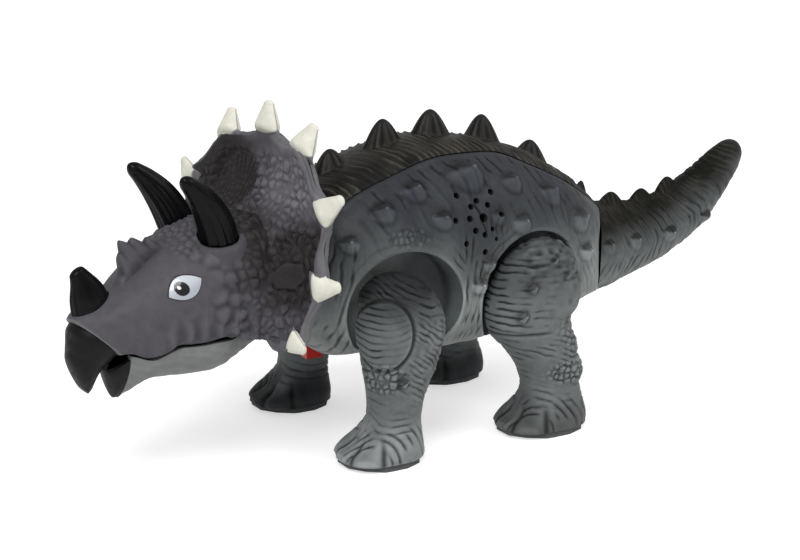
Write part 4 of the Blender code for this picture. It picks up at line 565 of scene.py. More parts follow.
def plastic(
    name, roughness, grain=1400, bump=0.12, colour=None, variation=0.10, metallic=0.0, coat=0.0, gloss=0.25
):
    """Painted or plain moulded plastic: mottled colour, uneven gloss and a fine grain."""
    material = bpy.data.materials.new(name)
    material.use_nodes = True
    nodes = material.node_tree.nodes
    links = material.node_tree.links
    shader = nodes["Principled BSDF"]
    shader.inputs["Metallic"].default_value = metallic
    shader.inputs["Specular IOR Level"].default_value = gloss
    shader.inputs["Coat Weight"].default_value = coat
    mottle = texture(nodes, links, "ShaderNodeTexNoise", 260, Detail=5.0, Roughness=0.65)
    tint = nodes.new("ShaderNodeMix")
    tint.data_type = "RGBA"
    tint.blend_type = "MULTIPLY"
    tint.inputs["Factor"].default_value = 1.0
    if colour is None:
        paint = nodes.new("ShaderNodeVertexColor")
        paint.layer_name = "paint"
        links.new(paint.outputs["Color"], tint.inputs["A"])
    else:
        tint.inputs["A"].default_value = (*colour, 1)
    links.new(grey(nodes, links, mottle.outputs["Fac"], 1 - variation, 1 + variation), tint.inputs["B"])
    links.new(tint.outputs["Result"], shader.inputs["Base Color"])
    wear = texture(nodes, links, "ShaderNodeTexNoise", 420, Detail=4.0)
    gloss_level = spread(nodes, links, wear.outputs["Fac"], roughness - 0.07, roughness + 0.07)
    links.new(gloss_level, shader.inputs["Roughness"])
    fine = texture(nodes, links, "ShaderNodeTexNoise", grain, Detail=3.0)
    relief = nodes.new("ShaderNodeBump")
    relief.inputs["Strength"].default_value = bump
    relief.inputs["Distance"].default_value = 0.0004
    links.new(fine.outputs["Fac"], relief.inputs["Height"])
    links.new(relief.outputs["Normal"], shader.inputs["Normal"])
    return material


flank_skin = plastic("flank_skin", 0.50, gloss=0.2)
tail_paint = plastic("tail_paint", 0.55, gloss=0.1)
back_skin = plastic("back_skin", 0.42, variation=0.14, gloss=0.14)
leg_skin = plastic("leg_skin", 0.58, gloss=0.18)


# Body


def wells(grow):
    """Cutters of the four leg wells, with painted shade towards their floors and, in the front ones, painted
    light ahead and above.
    """
    tools = []
    for (x, z, radius), lit in ((FRONT_WELL, 1.0), (HIND_WELL, 0.0)):
        wide = radius + grow
        wall = [(along, wide) for along in (*WELL_STEPS, 70)]
        profile = [(0, wide - WELL_LIP), (0.6, wide - 0.6), *wall]
        depth = np.array([along for along, _ in profile])
        paint = mix(WELL_FLOOR_SHADE, WELL_PALE, smooth(1, 9, depth))
        for side in (-1, 1):
            tool = lathe((x, side * (WELL_FLOOR - grow), z), (0, side, 0), profile, paint)
            points, colours, _ = arrays(tool.data)
            ahead = ((x - points[:, 0]) + 0.6 * (points[:, 2] - z)) / radius
            colours[:, :3] = mix(colours[:, :3], WELL_LIT, lit * smooth(0.0, 0.9, ahead))
            set_paint(tool.data, colours)
            tools.append(tool)
    return tools


def spike_height(away):
    """Share of a spike's height at a share of its base radius: a bell with a rounded tip."""
    return np.clip(1 - away**1.9, 0, 1) ** 1.2


def add_spikes(points, spikes, ridge):
    """Spikes on a ridge: the rise of each point, the spikes' mask and their flutes."""
    lift = np.zeros(len(points))
    mask = np.zeros(len(points))
    flute = np.zeros(len(points))
    above = points[:, 2] > ridge(points[:, 0]) - 12
    for number, (tip_x, tip_z, half_length, half_width) in enumerate(spikes):
        a = (points[:, 0] - tip_x) / half_length
        b = points[:, 1] / half_width
        away = np.where(above, np.hypot(a, b), 9)
        wave = np.clip(np.cos(11 * np.arctan2(b, a) + 5 * number), -1, 0.5) * smooth(0.2, 0.5, away)
        rise = tip_z - ridge(np.array([tip_x]))[0]
        lift += rise * spike_height(away * (1 - 0.03 * wave))
        here = smooth(1.1, 0.85, away)
        mask = np.maximum(mask, here)
        flute += here * wave
    return lift, mask, flute


def add_studs(points, normals, studs, lift, tone):
    """Thorns that rise slowly from the front to an apex at the rear, on both sides."""
    for side in (-1, 1):
        own = np.where(points[:, 1] * side > 0, 0, 1e6)
        for x, z, size in studs:
            k = np.argmin((points[:, 0] - x) ** 2 + (points[:, 2] - z) ** 2 + own)
            normal = normals[k]
            back = unit(np.array([1.0, 0, 0]) - normal * normal[0])
            up = np.cross(normal, back)
            up *= np.sign(up[2])
            offset = points - points[k]
            a = offset @ back / size
            b = offset @ up / size
            near = (np.abs(offset @ normal) < 8) & (own == 0)
            wide = np.where(a < 0, -a / 7.4, a / 4.2)
            tall = np.where(b > 0, b / 4.4, -b / 6.2)
            share = np.where(near, np.clip(1 - np.hypot(wide, tall), 0, 1), 0) ** 1.1
            lift += size * 3.7 * share
            # The upper facet is darker and the lower lighter, partly the paint and partly painted shade and
            # light; the apex gets a painted highlight
            upper = smooth(-1.2, 0.4, b + 0.2 * a)
            scratch = lines(points, offset @ up - 0.2 * offset @ back, 1.7, 19, 0.3)
            lift += 0.35 * scratch * upper * smooth(0.05, 0.2, share) * smooth(0.8, 0.5, share)
            tone += (0.65 - 1.40 * upper) * smooth(0.02, 0.30, share) + 3.0 * smooth(0.86, 0.97, share)


def rim_distance(points, well):
    return np.hypot(points[:, 0] - well[0], points[:, 2] - well[1]) - well[2]


def lines(points, field, pitch, seed, warp=1.3, solid=0.0):
    """Broken moulded wrinkles along lines of equal field: 0 between them, -1 in the deepest."""
    moved = field + warp * noise(points, 9, seed) + 0.35 * warp * noise(points, 3.5, seed + 1)
    near = np.abs(moved / pitch % 1 - 0.5) * 2
    depth = np.maximum(smooth(-0.5, 0.4, noise(points, 6, seed + 2)), solid)
    return -smooth(0.45, 1.0, near) * depth


def seam_radius(z):
    """Distance of the tail's seam from the tail's upright axis."""
    middle, half = TAIL_BALL
    return TAIL_SEAM * np.sqrt(1 - ((z - middle) / half) ** 2)


def body_rings(count, around, inset=0.0, density=even):
    xs = stations(BODY_SECTIONS, count)
    top, bottom, half_width = curve(BODY_SECTIONS, xs).T
    up = (top - bottom) / 2 - inset
    ovals, arcs = oval_rings(half_width - inset, up, up, BODY_POWERS, around, density)
    return xs, grid(xs[:, None], ovals[:, :, 0], ovals[:, :, 1] + ((top + bottom) / 2)[:, None]), arcs


def body_skin():
    def density(near):
        return 1 + 1.1 * bell(near, 17) - 0.5 * smooth(95, 115, near)

    def ridge(at):
        return curve(BODY_SECTIONS, at)[:, 0]

    xs, rings, arcs = body_rings(*BODY_GRID, density=density)
    reach = (seam_radius(rings[:, :, 2]) - 0.1) ** 2 - np.maximum(xs - TAIL_PIVOT, 0)[:, None] ** 2
    beyond = np.abs(rings[:, :, 1] / np.sqrt(np.maximum(reach, 1)))
    round_off = (1 + beyond**SEAM_SHARPNESS) ** (-1 / SEAM_SHARPNESS)
    rings[:, :, 1] *= np.where(xs[:, None] > TAIL_PIVOT, round_off, 1)
    normals = grid_normals(rings)
    points = rings.reshape(-1, 3)
    arc = arcs.reshape(-1)
    x, y, z = points.T
    above = z - curve(BACK_SEAM, x)[:, 0]
    front_rim = rim_distance(points, FRONT_WELL)
    hind_rim = rim_distance(points, HIND_WELL)
    rim = np.minimum(np.abs(front_rim), np.abs(hind_rim)) + 50 * (np.abs(y) < 20)
    flank = smooth(0.3, 2.5, -above) * smooth(0.2, 2.0, rim)
    low = smooth(40, 52, z)

    # Flanks: folds as rows of height, the field they follow, pitch, seed and where they lie
    between = smooth(-14, -6, x) * smooth(20, 10, x) * smooth(112, 98, z)
    fold = np.zeros(len(points))
    for height, field, pitch, seed, *where in (
        (0.60, front_rim, 3.6, 3, bell(front_rim, 9), smooth(-34, -8, x)),
        (0.45, hind_rim, 3.4, 5, bell(hind_rim, 8), smooth(30, 6, x)),
        (0.75, x - 0.10 * (z - 80), 3.4, 6, between),
        (0.30, front_rim, 4.4, 4, bell(front_rim, 6), smooth(-20, -34, x)),
        (0.65, x - 0.20 * z, 4.2, 7, smooth(-55, -62, x)),
        (0.65, x - 0.34 * arc, 6.4, 9, smooth(-34, -4, above), smooth(-60, -50, x)),
        (0.22, x + 0.5 * z, 3.6, 11, smooth(54, 64, x), smooth(104, 92, z)),
    ):
        fold += product(height, lines(points, field, pitch, seed), *where)
    lift = 0.75 * noise(points, 17, 1) + 0.25 * noise(points, 6, 2)
    lift += (fold + 0.30 * noise(points, 3.2, 12) * smooth(52, 62, x)) * low
    # Painted shade in the folds' grooves
    tone = 0.55 * fold * flank * low
    patch = smooth(1.25, 0.75, np.hypot((x + 35.5) / 10.5, (z - 101) / 4.2)) * (np.abs(y) > 20)
    scales = pebbles(points, 2.6, 13)
    lift += 0.40 * patch * (scales - 0.5)
    # Painted shade between the scales and painted light on their crowns
    tone += 0.45 * patch * (scales - 0.45) * flank
    lift += 0.05 * noise(points, 1.3, 17) * low
    lift *= flank * smooth(80, 66, x)
    add_studs(points, normals, STUDS, lift, tone)
    crack = bell(x - curve(SPEAKER_CRACK, np.clip(z, 98.5, 113.5))[:, 0], 0.5)
    crack *= smooth(98.8, 99.8, z) * smooth(113.2, 112.2, z) * (y < 0)
    # The crack is cut in and darkened with painted shade
    emboss(lift, tone, -0.8, -0.9, crack)
    lift -= 0.8 * np.exp(-rim / 0.8)
    # A painted highlight along the wells' rims
    tone += 0.45 * bell(rim - 0.7, 0.9) * smooth(3, 12, -above)

    # Back cover: slanting ridges and spikes
    ridges = -lines(points, x - 0.42 * arc, 3.7, 21, 1.6, 0.15)
    fine = -lines(points, x - 0.42 * arc, 1.9, 24, 1.2)
    cover_lift = 0.3 * noise(points, 12, 23)
    cover_lift += (0.75 * ridges + 0.2 * fine) * (0.4 + 0.6 * smooth(0, 13, np.abs(y)))
    rise, spikes, flute = add_spikes(points, BACK_SPIKES, ridge)
    lift = np.where(above > 0, cover_lift * smooth(0.2, 1.2, above) * (1 - spikes), lift)
    lift -= 0.4 * np.exp(-np.abs(above) / 0.45)
    moved = points + normals * lift[:, None]
    moved[:, 2] += rise

    # Darker towards the top, and paler low on the belly, where painted bounce light from the floor is mixed in
    shaded = z + 8 * noise(points, 22, 31) - 0.10 * np.maximum(x, 0)
    colour = mix(FLANK_LOW, FLANK_HIGH, smooth(52, 112, shaded))
    colour = mix(colour, BELLY_BOUNCE_LIGHT, smooth(56, 38, z))
    blue = smooth(1.3, 0.3, np.hypot((x + 24) / 26, (z - 111) / 12)) * smooth(-0.6, 0.5, noise(points, 12, 34))
    colour = mix(colour, FLANK_BLUE, 0.8 * blue)
    colour *= (1 + 0.20 * noise(points, 9, 32))[:, None]
    colour = relief_shade(colour, lift, BODY_GRID, tone, 8, 0.3, (0.40, 0.45), (0.2, 5))
    # Ridges lighter with painted sheen, grooves darker with painted shade, and some random tone
    streak = np.clip(0.12 + 0.9 * ridges + 0.25 * fine + 0.25 * noise(points, 8, 33), 0, 1)
    back = mix(BACK_DARK, BACK_RIDGE_SHEEN, streak)
    # Spike flutes: painted sheen on their crests and painted shade in their hollows
    thorn = mix(BACK_DARK, np.multiply(BACK_RIDGE_SHEEN, 0.55), np.clip(0.35 + 0.65 * flute, 0, 1))
    back = mix(back, thorn, spikes)
    colour = mix(colour, back, smooth(0.1, 0.5, above))
    return skin("body_skin", moved.reshape(rings.shape), colour)


def body_inside(inset):
    """The hollow of the body, its ends moved so that the front stays closed and the rear opens."""
    _, rings, _ = body_rings(72, 72, inset)
    rings[0, :, 0] += inset
    rings[-1, :, 0] += 12
    return skin("inside", rings)


def below_seam(shift):
    xs = stations(BACK_SEAM, 120)
    line = np.stack([xs, curve(BACK_SEAM, xs)[:, 0] + shift], 1)
    return prism([*line, (line[-1][0], -50), (line[0][0], -50)], 1, -120, 120)


def behind_seam(front, gap):
    """All that lies behind the tail's round seam, from a given place on."""
    profile = [(z, seam_radius(z) + gap) for z in np.linspace(20, 130, 60)]
    return cut(block(front, 220, -100, 100, 22, 128), lathe((TAIL_PIVOT, 0, 0), (0, 0, 1), profile, steps=192))


def door_block(gap):
    front, rear, half_width, top = DOOR
    return block(front - gap, rear + gap, -half_width - gap, half_width + gap, 20, top)


shell = body_skin()
hollow = cut(body_inside(WALL + 0.6), *wells(WALL))
cut(shell, hollow, *wells(0), behind_seam(78, 0))
fill_paint(shell, WELL_RIM)
for hip_x, hip_z in HIPS.values():
    cut(shell, bar((hip_x, -WELL_FLOOR - 4, hip_z), (hip_x, WELL_FLOOR + 4, hip_z), HIP_HOLE))
cut(shell, block(*NECK_OPENING), block(*SWITCH_OPENING))
back_cover = cut(copy(shell, "back"), below_seam(SEAM_GAP / 2))
flanks = combine(shell, below_seam(-SEAM_GAP / 2), "INTERSECT")
door = combine(copy(flanks, "door"), door_block(0), "INTERSECT")
cut(door, bar((DOOR_SCREW_X, 0, 20), (DOOR_SCREW_X, 0, 80), DOOR_SCREW_HOLE))
cut(flanks, door_block(DOOR_GAP))
left = half(copy(flanks, "left"), -1)
right = half(flanks, 1)
for x, y, z, radius in SPEAKER_HOLES:
    cut(left, bar((x, y - 9, z + 3), (x, y + 9, z - 3), radius, steps=20))
for x, z in SCREW_PLACES:
    cut(right, bar((x, 20, z), (x, 80, z), SCREW_HOLE, steps=32))
dress(left, "flank_left", "body", ["body_left_shell"], flank_skin)
dress(right, "flank_right", "body", ["body_right_shell"], flank_skin)
dress(back_cover, "back_ridge", "body", ["back_cover"], back_skin)
dress(door, "belly_door", "door", ["battery_door"], flank_skin)


# Tail


def tail_rings(xs, inset, around):
    z, half_height, half_width = curve(TAIL_SPINE, xs).T
    swell = 1 + 0.07 * smooth(112, 92, xs)
    slope = np.gradient(z, xs)
    up = half_height - inset
    ovals, _ = oval_rings(half_width * swell - inset, up, up, (2, 2), around)
    tilt = np.hypot(slope, 1)
    x = xs[:, None] - ovals[:, :, 1] * (slope / tilt)[:, None]
    return grid(x, ovals[:, :, 0], z[:, None] + ovals[:, :, 1] / tilt[:, None])


def tail_skin():
    def ridge(at):
        z, half_height, _ = curve(TAIL_SPINE, at).T
        return z + half_height

    along, around = TAIL_GRID
    xs = stations(TAIL_SPINE, along)
    rings = tail_rings(xs, 0.0, around)
    normals = grid_normals(rings)
    points = rings.reshape(-1, 3)
    station = np.repeat(xs, around)
    height = points[:, 2] - np.repeat(curve(TAIL_SPINE, xs)[:, 0], around)
    slant = station - 0.45 * np.minimum(height, 0) + 0.35 * np.maximum(height, 0)
    fold = lines(points, slant, 4.2, 41, 2.0, 0.2)
    fine = -lines(points, slant, 2.3, 46, 1.2)
    thin = smooth(192, 150, station) * 0.6 + 0.4
    rough = noise(points, 3, 42)
    lift = (0.45 * noise(points, 9, 43) + 0.75 * fold + 0.3 * fine + 0.22 * rough) * thin
    # Painted shade in the folds' grooves, painted light on the fine ridges, and random tone
    tone = 0.60 * fold + 0.25 * fine + 0.10 * rough
    add_studs(points, normals, TAIL_STUDS, lift, tone)
    lift *= smooth(80, 94, np.hypot(station, 0.8 * points[:, 1]))
    rise, mask, _ = add_spikes(points, TAIL_SPIKES, ridge)
    moved = points + normals * (np.minimum(lift, 3) * (1 - mask))[:, None]
    moved[:, 2] += rise
    dark = smooth(-1, 15, height + 4 * noise(points, 9, 44) + 0.20 * np.maximum(station - 140, 0))
    side = mix(FLANK_LOW, FLANK_HIGH, 0.65 * smooth(-18, 4, height))
    side *= (1 + tone)[:, None].clip(0.15, 3)
    # Fine ridges on the tail's dark top carry painted sheen
    brown = mix(TAIL_DARK, BACK_RIDGE_SHEEN, np.clip(0.2 * noise(points, 5, 45) + 0.45 * fine, 0, 1))
    return skin("tail_skin", moved.reshape(rings.shape), mix(side, brown, np.maximum(dark, mask)))


tail = tail_skin()
cut(tail, skin("void", tail_rings(np.linspace(77, 176, 60), WALL + 0.4, 48)))
combine(tail, behind_seam(70, TAIL_GAP), "INTERSECT")
dress(tail, "tail_skin", "tail", ["tail_shell"], tail_paint)


# Legs


def leg_rings(rows, side, inset, count, around):
    share = np.linspace(0, 1, count)
    share = 1 - (1 - share) ** 1.35
    z = rows[0][0] + (rows[-1][0] - rows[0][0]) * share
    middle, half_length, half_thickness = curve(rows, z).T
    inset = inset * (1 + 1.3 * smooth(30, 18, z))
    along = half_length - inset
    ovals, _ = oval_rings(half_thickness - inset, along, along, (LEG_POWER, LEG_POWER), around)
    return grid(middle[:, None] + ovals[:, :, 1], side * LEG_MIDDLE + ovals[:, :, 0], z[:, None])


def toes(q, rows, lift, tone):
    """Three long toes with pale nails, and the arcs of wrinkles round the outer one."""
    z = q[:, 2]
    _, middle, half_length, half_thickness = rows[1]
    angle = np.arctan2(-(q[:, 1] + LEG_MIDDLE) / half_thickness, -(q[:, 0] - middle) / half_length)
    front = smooth(1.55, 1.15, np.abs(angle))
    low = smooth(17, 9, z)
    between = np.abs(angle / TOE_PITCH % 1 - 0.5) * 2
    cleft = smooth(0.34, 0.0, between) * front * low
    lift += 0.9 * front * low * smooth(0.0, 0.6, between) - 0.5 * cleft
    # Painted shade in the clefts between the toes
    tone -= 0.50 * cleft
    slope = smooth(3, 11, z) * smooth(21, 11, z) * smooth(1.3, 0.4, np.abs(angle))
    lift -= 2.4 * slope
    beside = np.abs(angle - TOE_PITCH * np.clip(np.round(angle / TOE_PITCH), -1, 1))
    nail = smooth(0.26, 0.16, beside) * smooth(7.2, 5.6, z + 14 * beside**2)
    emboss(lift, tone, 0.35, 0.16, nail)
    outer = np.array([middle - 0.72 * half_length, -LEG_MIDDLE - 0.78 * half_thickness, 3.0])
    away = np.linalg.norm((q - outer) * [0.8, 1, 1], axis=1)
    arcs = lines(q, away, 3.3, 51, 0.7) * smooth(7, 10, away) * smooth(34, 24, away) * smooth(20, 14, z)
    # The arcs and the ankle's wrinkles get painted shade in their grooves
    emboss(lift, tone, 0.75, 0.45, arcs, smooth(-0.2, 0.4, angle))
    ankle = lines(q, z + 1.5 * np.abs(angle), 3.2, 54) * smooth(12, 16, z) * smooth(27, 20, z)
    emboss(lift, tone, 0.5, 0.3, ankle)


def leg_studs(q, lift, tone, studs):
    """Blunt thorns that point to the rear."""
    out = -q[:, 1] > LEG_MIDDLE + 1
    for x, z, size in studs:
        a = (q[:, 0] - x) / size
        b = (q[:, 2] - z) / size
        away = np.where(a < 0, -a / 4.6, a / 2.0) ** 1.2 + np.where(b > 0, b / 3.4, -b / 3.0) ** 1.2
        share = np.where(out, np.clip(1 - away**0.85, 0, 1), 0)
        lift += size * 2.4 * share
        # Painted shade on the upper face, painted light on the lower, a painted highlight at the apex and
        # painted shade round the foot
        tone += np.where(b > 0.6 * a, -0.75, 0.35) * smooth(0, 0.25, share) + 1.2 * smooth(0.82, 1, share)
        tone -= np.where(out, 0.20 * smooth(1.7, 1.1, away) * smooth(0.9, 1.1, away), 0)


def front_relief(q, lift, tone):
    x, y, z = q.T
    out = np.clip((-y - LEG_MIDDLE) / 10, -1, 1)
    across = np.array([0.876, -0.481, 0])
    outward = np.array([-0.481, -0.876, 0])
    from_pad = q - np.array([-57.0, -56.3, 61.6])
    u = from_pad @ across
    v = from_pad[:, 2]
    facing = from_pad @ outward > -11
    oval = np.where(facing, np.hypot(u / 13.0, v / 15.5), 9)
    pad = smooth(1.02, 0.93, oval)
    ring = bell(oval - 1.06, 0.06)
    bars = lines(q, v - 0.012 * u**2, 3.1, 61, 0.9, 0.45)
    fade = smooth(4, -8, u)
    rest = 1 - smooth(1.25, 1.0, oval)
    lift += pad * (1.0 + 0.95 * bars * (0.25 + 0.75 * fade)) - 0.7 * ring
    # Painted shade in the pad's bars and the groove round it; the wrinkles below also get painted shade in
    # their grooves
    tone += pad * (0.75 * bars * (0.2 + 0.8 * fade) - 0.06) - 0.5 * ring
    thigh = smooth(64, 72, z) * rest
    swirl = lines(q, 0.9 * z + 0.5 * x - 0.012 * (x + 40) ** 2, 3.4, 62, 1.8)
    emboss(lift, tone, 0.75, 0.5, swirl, thigh)
    behind = smooth(-48, -38, x) * smooth(22, 36, z) * (1 - thigh) * rest
    wrinkle = lines(q, z + 0.8 * x, 3.0, 63, 2.2)
    rough = noise(q, 2.6, 64)
    lift += behind * (0.6 * wrinkle + 0.4 * rough)
    tone += behind * (0.4 * wrinkle + 0.12 * rough)
    side_fold = lines(q, z + 0.35 * x, 4.6, 66, 2.0) * smooth(20, 28, z) * rest * (1 - behind)
    emboss(lift, tone, 0.35, 0.22, side_fold)
    band = smooth(1.25, 0.7, np.hypot((x + 56) / 9.0, (z - 41.5) / 7)) * (out > -0.3)
    stones = pebbles(q, 3.4, 65)
    # Painted shade between the pebbles and painted light on their crowns
    lift += 0.8 * band * (stones - 0.35)
    tone += band * (0.40 * stones - 0.28)
    leg_studs(q, lift, tone, FRONT_LEG_STUDS)


def hind_relief(q, lift, tone):
    x, _, z = q.T
    middle, half_length, _ = curve(HIND_LEG, z).T
    front = smooth(40, 10, x + 6 * noise(q, 6, 73)) * smooth(51, 56, z) * smooth(93, 84, z)
    rear = smooth(22, 34, x) * smooth(52, 60, z) * smooth(84, 74, z)
    crown = smooth(70, 80, z) * smooth(14, 24, x)
    crease = bell(z - 51.5 + 0.03 * (x - 20), 0.8) * smooth(34, 26, x)
    shin = smooth(52, 46, z) * smooth(22, 28, z)
    # Rows of height, change of tone (painted shade in grooves and creases, random tone elsewhere), and the
    # shares that make up a form
    for form in (
        (0.85, 0.60, lines(q, z + 0.10 * x, 3.4, 71, 1.0), front),
        (0.45, 0.14, noise(q, 3.4, 78), rear),
        (0.75, 0.45, crown, noise(q * [1, 1, 1.8], 3.0, 74)),
        (-0.7, -0.3, crease),
        (0.5, 0.30, lines(q, z + 0.35 * x, 2.8, 75), shin),
    ):
        emboss(lift, tone, *form)
    back = smooth(0.15, 0.8, (x - middle) / half_length)
    for bulge_z, size in ((66, 9), (45.5, 8.5), (30, 6.5)):
        bulge = back * np.clip(1 - ((z - bulge_z) / size) ** 2, 0, 1) ** 0.6
        lift += 1.9 * bulge
    stones = pebbles(q, 3.3, 77)
    band = smooth(1.3, 0.7, np.hypot((x - 44) / 13, (z - 30) / 5.5))
    band = np.maximum(band, 0.8 * back * smooth(34, 40, z) * smooth(60, 52, z))
    # Painted shade between the pebbles and painted light on their crowns
    lift += 0.8 * band * (stones - 0.4)
    tone += band * (0.40 * stones - 0.27)
    leg_studs(q, lift, tone, HIND_LEG_STUDS)


def leg_skin_mesh(rows, side, relief, foot, top_dark_and_shadow):
    rings = leg_rings(rows, side, 0.0, *LEG_GRID)
    normals = grid_normals(rings)
    points = rings.reshape(-1, 3)
    mirrored = points * [1, -side, 1]
    z = points[:, 2]
    lift = 0.40 * noise(points, 11, 81) + 0.15 * noise(points, 4, 82) + 0.05 * noise(points, 1.4, 83)
    tone = 0.10 * noise(points, 8, 84)
    relief(mirrored, lift, tone)
    toes(mirrored, rows, lift, tone)
    inner = smooth(LEG_MIDDLE - 2, LEG_MIDDLE - 11, np.abs(points[:, 1])) * smooth(28, 36, z)
    lift = lift * (1 - 0.9 * inner) - 0.3 * inner
    lift *= smooth(2.9, 4.2, z) * 0.9 + 0.1
    moved = points + normals * lift[:, None]
    moved[:, 2] = np.maximum(moved[:, 2], rows[0][0])
    proud = np.maximum(np.abs(moved[:, 1]) - LEG_FACE, 0)
    kept = LEG_FACE_SOFTNESS * (1 - np.exp(-proud / LEG_FACE_SOFTNESS))
    moved[:, 1] -= np.sign(moved[:, 1]) * (proud - kept)
    # The leg darkens towards its top: dark paint and painted shadow from the well
    colour = mix(LEG_GREY, LEG_DARK_AND_SHADOW, top_dark_and_shadow * smooth(58, 82, z + 4 * noise(points, 9, 85)))
    colour = mix(colour, foot, smooth(24, 9, z + 5 * noise(points, 9, 86)))
    colour = relief_shade(colour, lift, LEG_GRID, tone, 8, 0.3, (0.30, 0.45), (0.2, 3))
    return skin("leg", moved.reshape(rings.shape), colour)


# End of the body, sections, relief, colour of the near foot, and how dark the top grows: dark paint with
# painted shadow from the well
LEG_KINDS = (
    ("front", FRONT_LEG, front_relief, LEG_PALE, 0.95),
    ("hind", HIND_LEG, hind_relief, HIND_FOOT, 0.55),
)
for end, rows, relief, foot, top_dark_and_shadow in LEG_KINDS:
    for side, hand in HANDS:
        # The far legs' feet get a darker grey as painted shade
        leg = leg_skin_mesh(rows, side, relief, foot if side < 0 else FAR_FOOT_SHADE, top_dark_and_shadow)
        inside = leg_rings(rows, side, WALL + 0.5, 60, 60)[:-6]
        inside[0, :, 2] -= 3
        cut(leg, skin("void", inside))
        hip_x, hip_z = HIPS[end]
        cut(leg, bar((hip_x, side * 20, hip_z), (hip_x, side * (LEG_MIDDLE - 0.1), hip_z), LEG_HOLE))
        outer = half(copy(leg, "outer"), side, side * LEG_MIDDLE)
        inner = half(leg, -side, side * LEG_MIDDLE)
        body = f"{end}_{hand}_leg"
        dress(outer, f"{end}_{hand}_outer_skin", body, [f"{body}_outer"], leg_skin)
        dress(inner, f"{end}_{hand}_inner_skin", body, [f"{body}_inner"], leg_skin)


# Head, in its own frame: millimetres from the neck's axis, turned into place at the end

HEAD_PLACE = Matrix.Translation((-61.4 * MM, 0, 0)) @ Matrix.Rotation(math.radians(11), 4, "Z")
# Rows of x, top, bottom, half width
HEAD_SECTIONS = [
    (-130, 80.8, 69, 5), (-126, 83.6, 67.2, 8.8), (-118, 86.8, 65, 13.4), (-108, 91.5, 64, 18),
    (-100.5, 96.5, 61.7, 21.2), (-90, 103.5, 65.5, 24.5), (-80, 108.5, 65.5, 27.5), (-68, 113, 65.5, 30),
    (-54, 115, 62.2, 32.5), (-42, 114, 62, 31.5), (-30, 111, 65, 29),
]
HEAD_WAIST = 0.38
HEAD_POWERS = (2.3, 6.0)
BEAK_PLANE = -48.5
# Rows of x + z, middle x, half length, half width
BEAK_RINGS = [
    (-48.9, -119.1, 11.9, 12.6), (-53, -121.2, 11.6, 11.7), (-58, -123.2, 9.9, 10.5), (-63, -124.6, 8.8, 9),
    (-68, -125.7, 8, 7.3), (-72.5, -125.4, 5.7, 5.1), (-75.5, -124.7, 2.9, 2.7),
]
BROW_HORN = ((-63.5, 15, 102), (-66.5, 18.5, 123), (-85.5, 20.5, 137.5))
NOSE_HORN = ((-118.5, 0, 83.5), (-121.3, 0, 94.7), (-125.8, 0, 101.7))
# Rows of share along the horn, radius
BROW_RADII = [(0, 8.3), (0.3, 8.0), (0.55, 6.9), (0.75, 5.3), (0.9, 3.7), (1, 2.7)]
NOSE_RADII = [(0, 9.4), (0.35, 8.0), (0.7, 5.2), (1, 3.1)]
NOSE_SQUASH = 0.66
# Collar of a brow horn: rows of height, radius
COLLAR = [(0, 14.2), (5, 13.3), (9, 12.5), (12, 11.9), (13.8, 11.3), (14.6, 10.6), (14.9, 9.8), (14.9, 2.0)]
# Frill: rows of rim x, y, z and root x, y, z from the top round to the cheek
FRILL = [
    (-26.5, 0, 149, -40, 0, 109), (-27.5, 14, 146, -42, 10, 108), (-29.5, 27.4, 144.2, -45, 19, 105),
    (-33.5, 40.5, 132, -50, 25.5, 98.5), (-35, 49, 120, -54, 28, 92.5), (-37, 50.5, 105, -56, 29, 86),
    (-41, 51, 89, -58, 29, 79.5), (-45.2, 50.4, 75, -59, 28.5, 73.5), (-50.8, 47.6, 65.2, -59.5, 28, 70),
    (-57.5, 40.8, 61.6, -60, 26, 67.5),
]
# Frill spikes, from the top one round: base, tip, half width
FRILL_SPIKES = [
    ((-26.9, 0, 147), (-25, 0, 161.8), 8.8), ((-29.2, 26.5, 142), (-23.5, 30.5, 154.8), 8.6),
    ((-35.5, 46.5, 118.5), (-31.8, 59.5, 128), 7.4), ((-41.2, 48.5, 88.5), (-34, 60.2, 90), 7.4),
    ((-50.6, 45, 67), (-48.9, 54.2, 63), 6.3),
]
# Rows of x, bottom, half width
JAW_SECTIONS = [
    (-108.8, 42.6, 13.6), (-105, 45.0, 15.6), (-100.5, 49.2, 17.8), (-90, 49.6, 21.6), (-80, 48.6, 24.3),
    (-72, 48.2, 25.6), (-66, 49.0, 25.0), (-62, 50.2, 24.1), (-56, 54.4, 23.6), (-51.5, 59, 22.8),
]
# Rows of x, rim, bottom, half width
LOWER_BEAK = [
    (-114, 55.5, 53, 3), (-112.9, 57.6, 47.5, 7.2), (-111.4, 59.8, 43.4, 10.6), (-109.1, 62.2, 42.6, 13),
]
# Bumps on the cheeks: x, y, z, radius
BUMPS = [
    (-73.3, 22.9, 101.6, 4.2), (-74, 26.7, 93.9, 4.6), (-73.3, 28.5, 86.6, 4.4), (-71.7, 29, 78.8, 4.2),
    (-67.7, 29.4, 71.4, 3.8), (-61.1, 29.6, 67.2, 3.4), (-78.5, 19.5, 104.5, 3.6), (-67.5, 29.5, 93.5, 3.6),
    (-66.5, 30.2, 84.5, 3.6), (-64.5, 30, 77, 3.4),
]
# Middles of the dents in the frill
UPPER_WINDOW = (-30.8, 18.2, 124.9)
LOWER_WINDOW = (-45.4, 37.4, 92)
EYE_PLACE = (-87.4, 92.0)
EYE_SIZE = (8.0, 4.7)
EYE_TILT = math.radians(25)
SPIKE_TOP = 161.6
FLUTE_DEPTH = 0.030

